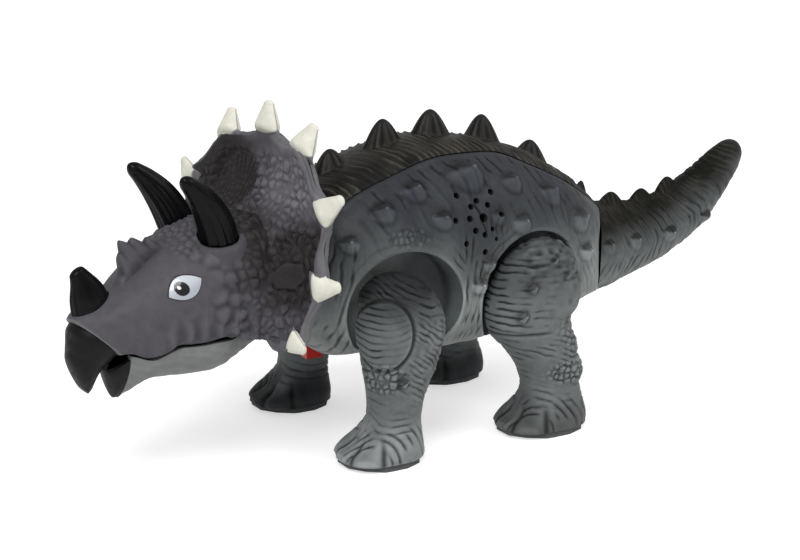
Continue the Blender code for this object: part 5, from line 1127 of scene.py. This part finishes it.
HEAD_GREY = (0.076, 0.072, 0.083)
HEAD_DARK = (0.015, 0.012, 0.012)
HEAD_PALE = (0.165, 0.155, 0.175)
SPIKE_CREAM = (0.72, 0.71, 0.62)
JAW_GREY = (0.190, 0.200, 0.198)
BEAK_BLACK = (0.0045, 0.0038, 0.004)
HORN_BLACK = (0.0022, 0.0024, 0.0030)
FRILL_BACK = (0.130, 0.131, 0.140)
# Lower and upper white of the eye, its rim, pupil and glint
EYE_WHITE = ((0.40, 0.43, 0.48), (0.56, 0.59, 0.64))
EYE_RIM = (0.012, 0.012, 0.014)
EYE_PUPIL = (0.006, 0.006, 0.007)
EYE_GLINT = (0.85, 0.86, 0.88)

head_skin = plastic("head_skin", 0.60)
jaw_skin = plastic("jaw_skin", 0.55)
horn_skin = plastic("horn_skin", 0.30, variation=0.2, bump=0.06, gloss=0.11)
beak_skin = plastic("beak_skin", 0.50, variation=0.2, bump=0.08, gloss=0.17)
eye_paint = plastic("eye_paint", 0.22, variation=0.02, bump=0.02, coat=0.5)


def head_rows(xs):
    top, bottom, half_width = curve(HEAD_SECTIONS, xs).T
    waist = bottom + HEAD_WAIST * (top - bottom)
    return top, bottom, half_width, waist


def head_rings(xs, inset, drop, around, density=even):
    top, bottom, half_width, waist = head_rows(xs)
    ovals, arcs = oval_rings(
        half_width - inset, top - waist - inset, waist - bottom - inset + drop, HEAD_POWERS, around, density
    )
    return grid(xs[:, None], ovals[:, :, 0], ovals[:, :, 1] + waist[:, None]), arcs


def head_side(x, z):
    """Half width of the upper head at a place in side view."""
    top, _, half_width, waist = head_rows(np.ravel(x))
    power = HEAD_POWERS[0]
    up = np.clip((np.ravel(z) - waist) / (top - waist), 0, 0.98)
    return (half_width * (1 - up**power) ** (1 / power)).reshape(np.shape(x))


def window(q, centre, wide, tall):
    """Oval distance on the frill, 1 at the edge."""
    offset = q - centre
    return np.where(np.abs(offset[:, 0]) < 22, np.hypot(offset[:, 1] / wide, offset[:, 2] / tall), 9)


def head_loft():
    def density(near):
        return 1 + 1.6 * bell(near, 7)

    rings, arcs = head_rings(stations(HEAD_SECTIONS, HEAD_GRID[0]), 0, 0, HEAD_GRID[1], density)
    normals = grid_normals(rings)
    points = rings.reshape(-1, 3)
    q = folded(points)
    x, _, z = q.T
    top, bottom, _, _ = head_rows(x)
    lift = 0.6 * noise(points, 11, 101) + 0.32 * noise(points, 4.5, 102)
    tone = np.zeros(len(points))
    mouth = z - bottom
    ripple = np.sin(2 * np.pi * (x + 0.10 * z + 1.8 * noise(points, 8, 103)) / 7.4)
    lips = smooth(17, 7, mouth) * smooth(-99, -94, x) * smooth(1.2, 4, mouth)
    # The lip ripples get painted light on their crests and painted shade in their troughs
    emboss(lift, tone, 0.65, 0.10, ripple, lips)
    for *centre, radius in BUMPS:
        away = np.linalg.norm(q - centre, axis=1) / radius
        lift += 1.3 * np.clip(1 - away**2, 0, 1) ** 1.3 - 0.15 * bell(away - 1.15, 0.2)
        # A ring of painted shade round each bump's foot
        tone -= 0.07 * bell(away - 1.1, 0.2)
    cheek = smooth(-70, -62, x + 3 * noise(points, 6, 104))
    stones = pebbles(points, 4.6, 105)
    lift += 0.9 * cheek * (stones - 0.4)
    # Painted shade between the scales and painted light on their crowns
    tone += cheek * (0.22 * stones - 0.14)
    brow = smooth(-90, -77, x) * smooth(-9, -3, z - top)
    lift += 0.85 * brow * (pebbles(points, 3.6, 106) - 0.5)
    eye_gap = np.hypot((x - EYE_PLACE[0]) / 13, (z - EYE_PLACE[1]) / 8.5)
    lift *= 1 - smooth(1.5, 0.9, eye_gap) * 0.85
    crest = smooth(-109, -97.5, x) * smooth(-82, -89, x)
    saw = 1 - np.abs((x + 112 + 0.5 * noise(points, 5, 108)) / 4.4 % 1 - 0.5) * 2
    teeth = 2.6 + 8.5 * bell(x + 96.5, 6) + 3.2 * saw**0.9
    fin = np.clip(1 - (arcs.reshape(-1) / 3.9) ** 2, 0, 1) ** 0.7
    lift = lift * (1 - fin * crest) + crest * teeth * fin
    moved = points + normals * lift[:, None]
    rear = smooth(-72, -57, x + 6 * noise(points, 10, 107))
    colour = mix(HEAD_GREY, HEAD_DARK, 0.85 * rear * smooth(78, 94, z))
    colour = mix(colour, np.multiply(HEAD_GREY, 0.72), 0.8 * fin * crest)
    colour = relief_shade(colour, lift, HEAD_GRID, tone, 10, 0.35, (0.22, 0.30), (0.3, 3))
    edge = np.maximum(smooth(1.3, 0.4, mouth) * (x < -58), smooth(1.3, 0.5, x + z - BEAK_PLANE))
    return skin("head", moved.reshape(rings.shape), mix(colour, HEAD_PALE, 0.75 * edge))


FRILL_TABLE = [
    (turn, *(np.array(FRILL[abs(turn)]) * [1, np.sign(turn), 1, 1, np.sign(turn), 1])) for turn in range(-9, 10)
]


def frill_sheet(turns, shares):
    """The frill's front face before its relief: a grid over turns round the head and shares out to the rim."""
    rows = curve(FRILL_TABLE, turns)
    rim, root = rows[:, None, :3], rows[:, None, 3:]
    length = np.linalg.norm(rows[:, :3] - rows[:, 3:], axis=1)
    turn = np.abs(turns)
    flare = 0.5 + 4.0 * smooth(2, 4, turn) * smooth(9.2, 7.5, turn)
    scallop = np.minimum(1.5 + 2.7 * smooth(1.5, 4, turn), 0.15 * length) * np.sin(np.pi * turns / 2) ** 2
    reach = 1 + (flare - scallop) / length
    share = shares[None, :, None] * reach[:, None, None]
    sheet = root + (rim - root) * share
    sheet[:, :, 0] += 6 * 4 * np.maximum(share[:, :, 0] * (1 - share[:, :, 0]), 0)
    return sheet


def frill_front():
    turns = np.linspace(-9, 9, FRILL_GRID[0])
    shares = np.linspace(0, 1, FRILL_GRID[1])
    sheet = frill_sheet(turns, shares)
    points = sheet.reshape(-1, 3)
    _, y, z = points.T
    normals = np.cross(np.gradient(sheet, axis=0), np.gradient(sheet, axis=1)).reshape(-1, 3)
    normals /= np.linalg.norm(normals, axis=1, keepdims=True) + 1e-9
    normals *= np.sign(-normals[:, :1])
    turn = np.repeat(turns, len(shares))
    share = np.tile(shares, len(turns))
    q = folded(points)
    band = smooth(0.82, 0.93, share + 0.03 * noise(points, 6, 111))
    upper = window(points, UPPER_WINDOW, 14.5, 12.5)
    lower = window(q, LOWER_WINDOW, 11.5, 13.5)
    in_upper = smooth(1.05, 0.8, upper)
    stones = pebbles(points, 4.4, 112)
    fine = pebbles(points, 2.6, 113)
    rough = (1 - band) * (1 - in_upper) * smooth(-0.5, 0.1, noise(points, 13, 114) + 0.35)
    lift = 1.3 * noise(points, 14, 115) * (1 - in_upper)
    lift += rough * (1.35 * (stones - 0.35) + 0.3 * (fine - 0.5)) * (0.7 + 0.6 * noise(points, 11, 118))
    # Painted shade between the scales and painted light on their crowns
    tone = rough * (0.15 * stones - 0.10)
    lift -= 1.3 * smooth(1.25, 0.4, upper) - 0.9 * bell(upper - 1.15, 0.14)
    streak = lines(points, y + 0.3 * z, 2.6, 119)
    lift += in_upper * (0.45 * streak + 0.5 * (fine - 0.5))
    # Inside the upper dent: painted shade in the streaks' grooves and painted light on the small scales
    tone += in_upper * (0.7 * streak + 0.5 * fine)

    # One large six-sided scale with a ring and a pit in its middle
    _, out, up = (q - np.array(LOWER_WINDOW)).T
    polygon = np.hypot(out, up) / (5.6 + 0.40 * np.cos(6 * np.arctan2(up, out) + 0.5))
    plate = smooth(1.08, 0.9, polygon)
    groove = 0.7 * bell(polygon - 1.12, 0.09) + 0.6 * bell(polygon, 0.13)
    groove += 0.35 * bell(polygon - 0.30, 0.07)
    lift = lift * (1 - plate) + plate * 0.5 - 0.7 * groove
    # Painted shade in the plate's grooves
    tone = tone * (1 - plate) - 0.25 * groove
    lift += 0.8 * band * smooth(1.0, 0.96, share)
    lift = np.maximum(lift, -1.5) * smooth(0.0, 0.06, share)

    # The upper frill on the near side is paler: painted light
    colour = mix(HEAD_GREY, HEAD_PALE, 0.7 * smooth(112, 124, z) * smooth(4, -10, y))
    near = np.hypot((q[:, 1] - 40) / 16, (q[:, 2] - 98) / 17) + 0.2 * noise(points, 8, 110)
    # far is a painted shadow on the upper frill of the far side only
    far = np.hypot((y - 29) / 19, (z - 132) / 21) + 0.2 * noise(points, 8, 120)
    dark = np.maximum.reduce([
        smooth(1.25, 0.75, upper + 0.2 * noise(points, 8, 116)),
        smooth(1.5, 0.75, lower + 0.2 * noise(points, 7, 117)),
        smooth(1.3, 0.6, near),
        smooth(1.3, 0.6, far),
    ])
    colour = mix(colour, HEAD_DARK, 0.95 * dark)
    colour = mix(colour, HEAD_DARK, 0.55 * smooth(0.32, 0.05, share) * smooth(7.5, 5.5, np.abs(turn)))
    # The rim band on the near side is paler: painted light
    colour = mix(colour, HEAD_PALE, 0.55 * band * smooth(12, -6, y))
    colour = mix(colour, FRILL_BACK, smooth(0.975, 0.99, share))
    colour = relief_shade(colour, lift, FRILL_GRID, tone, 10, 0.45, (0.28, 0.30), (0.3, 3))

    front = (points + normals * lift[:, None]).reshape(sheet.shape)
    back = frill_sheet(turns, np.linspace(1, 0, 24))
    back[:, :, 0] += WALL
    middle = (front[:, -1:] + back[:, :1]) / 2
    ends = frill_sheet(turns, np.array([1.0, 0.97]))
    outward = ends[:, :1] - ends[:, 1:]
    middle += 0.9 * unit(outward)
    rings = np.concatenate([front, middle, back], 1)
    paint = np.full(rings.shape, FRILL_BACK)
    paint[:, : len(shares)] = colour.reshape(sheet.shape)
    return skin("frill", rings, paint)


def frill_cover():
    """The rear shell of the frill: a sheet with its own soft folds and a rolled edge."""
    turns = np.linspace(-8.7, 8.7, 300)
    shares = np.linspace(0.36, 0.95, 70)
    front = frill_sheet(turns, shares)
    front[:, :, 0] += WALL + 0.3 + 4 * 4 * shares * (1 - shares) * smooth(0.36, 0.5, shares)
    rear = front + [2.0, 0, 0]
    points = rear.reshape(-1, 3)
    share = np.tile(shares, len(turns))
    inside = smooth(0.36, 0.44, share) * smooth(0.95, 0.88, share)
    fold = np.sin(2 * np.pi * (np.repeat(turns, len(shares)) * 1.5 + 0.5 * noise(points, 12, 121)))
    lift = inside * (0.45 * fold + 0.5 * noise(points, 9, 122) + 0.5 * (pebbles(points, 4.0, 123) - 0.4))
    lift = lift.reshape(len(turns), -1)
    rear[:, :, 0] += lift
    # Painted light on the rear shell's raised folds and painted shade in its dents
    tone = np.concatenate([0 * lift, 0.25 * np.clip(lift, -1, 1)[:, ::-1]], 1)
    rings = np.concatenate([front, rear[:, ::-1]], 1)
    return skin("frill_cover", rings, np.asarray(FRILL_BACK) * (1 + tone[:, :, None]))


def spike(base, tip, half_width, side):
    """A blunt cream cone on the rim, its foot sunk into the frill."""
    base = np.array(base) * [1, side, 1]
    tip = np.array(tip) * [1, side, 1]
    rise = tip - base
    length = np.linalg.norm(rise)
    rise = rise / length
    across = unit(np.cross(rise, [1, 0, 0]))
    deep = np.cross(across, rise)
    share = np.concatenate([np.linspace(-0.10, 0.86, 30), 0.86 + 0.14 * np.sin(np.linspace(0.15, 1.5, 10))])
    body = np.interp(share, [-0.10, 0, 0.3, 0.6, 0.86], [1.0, 0.98, 0.80, 0.57, 0.36])
    cap = np.sqrt(np.clip(1 - ((share - 0.86) / 0.142) ** 2, 0, 1)) * 0.36
    size = np.where(share > 0.86, cap, body) * half_width
    angle = circle(44)
    wide = np.cos(angle)[None, :, None] * across * size[:, None, None]
    flat = 0.64 * (0.10 + 0.90 * smooth(-0.14, 0.30, share))
    thick = np.sin(angle)[None, :, None] * deep * (size * flat)[:, None, None]
    rings = base + rise * (share * length)[:, None, None] + wide + thick
    rings[:, :, 0] += (0.6 + 1.3 * smooth(0.15, -0.10, share))[:, None]
    points = rings.reshape(-1, 3)
    rough = 0.10 * noise(points, 2.5, 131)[:, None] * (points - points.mean(0)) / half_width
    rings = (points + rough).reshape(rings.shape)
    rings[:, :, 2] = np.minimum(rings[:, :, 2], SPIKE_TOP)
    seam = np.abs(np.sin(angle)) < 0.09
    paint = np.full(rings.shape, SPIKE_CREAM)
    paint[:, seam] *= 0.30
    paint[share > 0.9] = SPIKE_CREAM
    line = share[:, None] + 0.04 * noise(rings.reshape(-1, 3), 4, 132).reshape(rings.shape[:2])
    line = line + 0.16 * (np.abs(np.sin(angle)) - 1)
    return skin("spike", rings, mix(HEAD_PALE, paint, smooth(0.0, 0.04, line)))


def bend(control, share):
    a, b, c = (np.array(point, float) for point in control)
    t = share[:, None]
    place = a * (1 - t) ** 2 + 2 * b * t * (1 - t) + c * t**2
    direction = 2 * (b - a) * (1 - t) + 2 * (c - b) * t
    return place, unit(direction)


def horn(control, side, radii, squash, flutes, grow=0.0, sink=0.0):
    """A bent horn with lengthwise grooves and a rounded tip; grown and plain, it is the socket's cutter."""
    control = [np.array(point) * [1, side, 1] for point in control]
    share = np.linspace(0, 1, 90) if grow else np.sin(np.linspace(0, np.pi / 2, 90))
    share = share * (1 + sink) - sink
    place, direction = bend(control, share)
    across = unit(np.cross(direction, [1.0, 0, 0]))
    other = np.cross(direction, across)
    tip = np.sqrt(np.clip(1 - (np.clip(share - 0.92, 0, 1) / 0.0805) ** 2, 0, 1))
    size = curve(radii, np.clip(share, 0, 1))[:, 0] * tip + grow
    angle = circle(96)
    wave = np.cos(flutes * angle) + 0.5 * np.cos((2 * flutes + 3) * angle + 1)
    depth = FLUTE_DEPTH if flutes else 0.0
    ripple = 1 + depth * wave[None] * smooth(0.95, 0.45, share)[:, None]
    spokes = across[:, None] * (np.cos(angle) * squash)[None, :, None]
    spokes = spokes + other[:, None] * np.sin(angle)[None, :, None]
    rings = place[:, None] + spokes * (size[:, None] * ripple)[:, :, None]
    # Painted light on the flutes' ridges and painted shade in their grooves
    tone = 0.45 * np.clip(ripple - 1, -FLUTE_DEPTH, FLUTE_DEPTH) / FLUTE_DEPTH
    return skin("horn", rings, np.array(HORN_BLACK) * (1 + tone)[:, :, None])


def eye(side, grow=0.0):
    """A domed almond that follows the face, with its painted rim, white, pupil and glint."""
    steps, around = (60, 120) if not grow else (12, 64)
    reach = np.concatenate([np.linspace(0.02, 1, steps), [1.0]])[:, None]
    angle = circle(around)
    length, height = (value + grow for value in EYE_SIZE)
    u = reach * np.cos(angle) * length
    w = reach * np.sign(np.sin(angle)) * np.abs(np.sin(angle)) ** 1.9 * height
    x = EYE_PLACE[0] + u * math.cos(EYE_TILT) - w * math.sin(EYE_TILT)
    z = EYE_PLACE[1] + u * math.sin(EYE_TILT) + w * math.cos(EYE_TILT)
    dome = (3.0 if grow else 0.30) + 0.8 * (1 - reach**2)
    dome[-1] = -2.5
    rings = grid(x, side * (head_side(x, z) + dome), z)
    paint = mix(*EYE_WHITE, smooth(-3, 3, w))
    paint = mix(paint, EYE_RIM, smooth(0.955, 0.975, reach + 0 * u))
    paint = mix(paint, EYE_PUPIL, smooth(2.95, 2.75, np.hypot(u + 1.6, w - 0.5)))
    paint = mix(paint, EYE_GLINT, smooth(0.8, 0.6, np.hypot(u + 2.3, w - 1.4)))
    return skin("eye", rings, paint)


def soften(piece, spread_steps, passes):
    """Blends the creases that a union leaves: its new points, still white, and those near them."""
    mesh = piece.data
    points, colours, edges = arrays(mesh)
    weight = bare_points(colours).astype(float)
    for _ in range(spread_steps):
        grown = weight.copy()
        for a, b in ((0, 1), (1, 0)):
            np.maximum.at(grown, edges[:, a], weight[edges[:, b]] - 1 / (spread_steps + 1))
        weight = grown
    count = np.bincount(edges.ravel(), minlength=len(points)).astype(float)
    for _ in range(passes):
        total = np.zeros_like(points)
        np.add.at(total, edges[:, 0], points[edges[:, 1]])
        np.add.at(total, edges[:, 1], points[edges[:, 0]])
        points = points + (total / count[:, None] - points) * (0.6 * weight)[:, None]
    mesh.vertices.foreach_set("co", (points * MM).astype(np.float32).ravel())
    mesh.update()
    mend_paint(mesh)


def collar(side):
    base = np.array(BROW_HORN[0]) * [1, side, 1]
    direction = (np.array(BROW_HORN[1]) - np.array(BROW_HORN[0])) * [1, side, 1]
    return lathe(base - 8 * unit(direction), direction, COLLAR, np.multiply(HEAD_GREY, 0.85))


head = head_loft()
combine(head, frill_front(), "UNION")
for side in (-1, 1):
    combine(head, collar(side), "UNION")
soften(head, 6, 8)
for number, (base, tip, half_width) in enumerate(FRILL_SPIKES):
    for side in (-1, 1) if number else (1,):
        combine(head, spike(base, tip, half_width, side), "UNION")
soften(head, 3, 4)
hollow, _ = head_rings(np.linspace(-110, -27.8, 60), WALL + 0.4, -3.5, 64)
slot_xs = np.linspace(-108, -32, 50)
slot, _ = head_rings(slot_xs, 9 - 2.5 * smooth(-71, -64, slot_xs), 26, 64)
cut(head, skin("hollow", hollow), skin("slot", slot))
# A rib on the middle plane, which keeps light from showing through the mouth's rear
rib_xs = np.linspace(-59, -88, 10)
rib = [(-88, 58.5), (-59, 58.5), *zip(rib_xs, head_rows(rib_xs)[0] - 1)]
combine(head, prism(rib, 1, -1.2, 1.2), "UNION")
ahead = [(-FAR, BEAK_PLANE + FAR), (-FAR, -50), (BEAK_PLANE + 50, -50)]
cut(head, prism(ahead, 1, -60, 60))
for side in (-1, 1):
    cut(head, horn(BROW_HORN, side, BROW_RADII, 1.0, 0, grow=0.7, sink=0.2), eye(side, grow=0.12))
cut(head, horn(NOSE_HORN, 1, NOSE_RADII, NOSE_SQUASH, 0, grow=0.25, sink=0.1))


def dress_head(piece, name, body, node, material):
    """Turns a piece from the head's own frame into place and dresses it."""
    piece.data.transform(HEAD_PLACE)
    dress(piece, name, body, [node], material)


dress_head(head, "head_skin", "head", "head_shell", head_skin)
dress_head(frill_cover(), "frill_rear", "head", "frill_back_cover", jaw_skin)
for side, hand in HANDS:
    brow = horn(BROW_HORN, side, BROW_RADII, 1.0, 9)
    dress_head(brow, f"brow_{hand}", "head", f"brow_horn_{hand}", horn_skin)
    dress_head(eye(side), f"eye_white_{hand}", "head", f"eye_{hand}", eye_paint)
nose = horn(NOSE_HORN, 1, NOSE_RADII, NOSE_SQUASH, 5)
dress_head(nose, "nose_point", "head", "nose_horn", horn_skin)


def beak():
    sums = stations(BEAK_RINGS[::-1], 90)
    middle, half_length, half_width = (column[:, None] for column in curve(BEAK_RINGS[::-1], sums).T)
    angle = circle(110)
    along = half_length * np.cos(angle) * math.sqrt(0.5)
    rings = grid(middle + along, half_width * np.sin(angle), (sums[:, None] - middle) - along)
    normals = grid_normals(rings)
    points = rings.reshape(-1, 3)
    lift = 0.25 * noise(points, 7, 141) + 0.08 * noise(points, 2.5, 142)
    lift *= smooth(BEAK_PLANE, BEAK_PLANE - 2, points[:, 0] + points[:, 2])
    return skin("beak", (points + normals * lift[:, None]).reshape(rings.shape), BEAK_BLACK)


def scoop(xs, rim, bottom, half_width, around):
    """D-shaped rings: a round bottom under a flat rim, keeled towards the beak."""
    power = (2.3 - 0.85 * smooth(-100, -108, xs))[:, None]
    angle = np.linspace(0, np.pi, around)
    c, s = np.cos(angle), np.sin(angle)
    side = np.sign(c) * np.abs(c) ** (2 / power)
    down = np.abs(s) ** (2 / power)
    return grid(xs[:, None], half_width[:, None] * side, rim[:, None] - (rim - bottom)[:, None] * down)


def hollow_scoop(xs, rim, bottom, half_width, wall, shift):
    rings = scoop(xs, rim + 6, bottom + wall, half_width - wall, 60)
    rings[0, :, 0] += shift[0]
    rings[-1, :, 0] += shift[1]
    return skin("hollow", rings)


def jaw():
    xs = stations(JAW_SECTIONS, 170)
    bottom, half_width = curve(JAW_SECTIONS, xs).T
    rim = head_rows(xs)[1] - 0.35 + 1.3 * smooth(-67, -62, xs)
    rings = scoop(xs, rim, bottom, half_width, 150)
    normals = grid_normals(rings)
    points = rings.reshape(-1, 3)
    fold = np.sin(2 * np.pi * (points[:, 2] + 0.22 * points[:, 0] + 1.6 * noise(points, 9, 151)) / 3.8)
    inner = smooth(0.6, 3, np.repeat(rim, 150) - points[:, 2])
    lift = inner * (0.10 * fold + 0.40 * noise(points, 11, 152) + 0.12 * noise(points, 3, 153))
    # The folds get a little painted light and shade, with random tone
    tone = 0.03 * fold * inner + 0.07 * noise(points, 8, 154)
    moved = (points + normals * lift[:, None]).reshape(rings.shape)
    made = skin("jaw", moved, np.asarray(JAW_GREY) * (1 + tone[:, None]))
    coarse = stations(JAW_SECTIONS, 40)
    bottom, half_width = curve(JAW_SECTIONS, coarse).T
    return cut(made, hollow_scoop(coarse, head_rows(coarse)[1], bottom, half_width, WALL, (-4, -3)))


def lower_beak():
    xs = stations(LOWER_BEAK, 40)
    rim, bottom, half_width = curve(LOWER_BEAK, xs).T
    made = skin("lower", scoop(xs, rim, bottom, half_width, 90), BEAK_BLACK)
    return cut(made, hollow_scoop(xs, rim, bottom, half_width, 1.4, (1.6, 4)))


dress_head(beak(), "beak_top", "head", "upper_beak", beak_skin)
dress_head(jaw(), "jaw_skin", "jaw", "lower_jaw", jaw_skin)
dress_head(lower_beak(), "beak_bottom", "jaw", "lower_beak", beak_skin)


# Solids that stay as they are


LEGS = [f"{end}_{hand}" for end in ("front", "hind") for _, hand in HANDS]
# Finish, nodes that wear it
PLAIN_NODES = [
    (
        plastic("dark_plastic", 0.45, colour=(0.022, 0.022, 0.024)),
        [
            "battery_box", "speaker", "switch_housing", "neck_arm", "tail_arm",
            *(f"{leg}_rocker" for leg in LEGS),
        ],
    ),
    (
        plastic("white_plastic", 0.38, colour=(0.70, 0.70, 0.66), variation=0.05),
        [
            "gearbox_plate_left", "gearbox_plate_right", "crank_gear", "compound_gear", "motor_pinion",
            "link_rod_left", "link_rod_right", "crank_arm_left", "crank_arm_right",
        ],
    ),
    (plastic("red_plastic", 0.35, colour=(0.55, 0.030, 0.022)), ["switch_knob"]),
    (
        plastic("steel", 0.30, grain=2600, bump=0.06, colour=(0.52, 0.52, 0.53), metallic=1.0),
        ["body_screw_1", "body_screw_2", "body_screw_3", "battery_door_screw", "motor", "neck_pin", "tail_pin"],
    ),
    (
        plastic("label", 0.32, grain=900, bump=0.04, colour=(0.10, 0.16, 0.28)),
        ["battery_1", "battery_2", "battery_3"],
    ),
    (plastic("board", 0.40, grain=800, bump=0.2, colour=(0.02, 0.12, 0.05)), ["circuit_board"]),
    (
        plastic("sole_rubber", 0.72, grain=900, bump=0.3, colour=(0.090, 0.096, 0.097)),
        [f"{leg}_sole" for leg in LEGS],
    ),
    (plastic("pin_grey", 0.5, colour=JAW_GREY), ["jaw_pin"]),
]
for finish, names in PLAIN_NODES:
    for name in names:
        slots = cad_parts[name].data.materials
        slots.clear()
        slots.append(finish)


# Studio

CAMERA_TARGET = Vector((-21.4, -9.0, 72.0)) * MM
CAMERA_DISTANCE = 0.8
CAMERA_AZIMUTH = math.radians(30)
CAMERA_HEIGHT = math.radians(15)
LENS = 76.5
SENSOR = 36.0
FLOOR_GLOW = 0.55


def seen_by(nodes, links, *rays):
    """1 for the named kinds of ray, 0 for the others."""
    path = nodes.new("ShaderNodeLightPath")
    seen = nodes.new("ShaderNodeMath")
    seen.operation = "MAXIMUM"
    for socket, ray in enumerate(rays):
        links.new(path.outputs[ray], seen.inputs[socket])
    return seen.outputs[0]


def studio_white(material):
    """A pale surface that takes shadows and that the camera sees as white."""
    material.use_nodes = True
    nodes = material.node_tree.nodes
    links = material.node_tree.links
    nodes.clear()
    output = nodes.new("ShaderNodeOutputMaterial")
    surface = nodes.new("ShaderNodeBsdfDiffuse")
    grain = texture(nodes, links, "ShaderNodeTexNoise", 40, Detail=2.0)
    links.new(grey(nodes, links, grain.outputs["Fac"], 0.775, 0.785), surface.inputs["Color"])
    glow = nodes.new("ShaderNodeEmission")
    dim = nodes.new("ShaderNodeMath")
    dim.operation = "MULTIPLY"
    dim.inputs[1].default_value = FLOOR_GLOW
    links.new(seen_by(nodes, links, "Is Camera Ray", "Is Glossy Ray"), dim.inputs[0])
    links.new(dim.outputs[0], glow.inputs["Strength"])
    both = nodes.new("ShaderNodeAddShader")
    links.new(surface.outputs[0], both.inputs[0])
    links.new(glow.outputs[0], both.inputs[1])
    links.new(both.outputs[0], output.inputs["Surface"])
    return material


def floor(size):
    mesh = bpy.data.meshes.new("floor")
    corners = [(-size, -size, 0), (size, -size, 0), (size, size, 0), (-size, size, 0)]
    mesh.from_pydata(corners, [], [(0, 1, 2, 3)])
    mesh.materials.append(studio_white(bpy.data.materials.new("studio_white")))
    add_object("floor", mesh)


def sky(strength):
    """Even light from all round, seen as white."""
    world = bpy.data.worlds.new("studio")
    world.use_nodes = True
    nodes = world.node_tree.nodes
    links = world.node_tree.links
    level = nodes.new("ShaderNodeMapRange")
    level.inputs["To Min"].default_value = strength
    level.inputs["To Max"].default_value = 1.0
    links.new(seen_by(nodes, links, "Is Camera Ray", "Is Transmission Ray"), level.inputs["Value"])
    backdrop = nodes["Background"]
    backdrop.inputs["Color"].default_value = (1, 1, 1, 1)
    links.new(level.outputs["Result"], backdrop.inputs["Strength"])
    bpy.context.scene.world = world


def lamp(name, place, size, power):
    light = bpy.data.lights.new(name, "AREA")
    light.shape = "DISK"
    light.size = size
    light.energy = power
    made = add_object(name, light)
    made.location = place
    made.rotation_euler = (CAMERA_TARGET - Vector(place)).to_track_quat("-Z", "Y").to_euler()


def camera():
    away = Vector((
        -math.sin(CAMERA_AZIMUTH) * math.cos(CAMERA_HEIGHT),
        -math.cos(CAMERA_AZIMUTH) * math.cos(CAMERA_HEIGHT),
        math.sin(CAMERA_HEIGHT),
    ))
    lens = bpy.data.cameras.new("camera")
    lens.sensor_fit = "HORIZONTAL"
    lens.sensor_width = SENSOR
    lens.lens = LENS
    lens.clip_start = 0.01
    made = add_object("camera", lens)
    made.location = CAMERA_TARGET + away * CAMERA_DISTANCE
    made.rotation_euler = (-away).to_track_quat("-Z", "Y").to_euler()
    bpy.context.scene.camera = made


floor(6.0)
sky(0.55)
lamp("key", (-0.9, -0.9, 1.5), 0.9, 17)
lamp("fill", (0.9, -0.8, 1.2), 0.9, 7)
camera()
bpy.context.scene.view_settings.view_transform = "Standard"
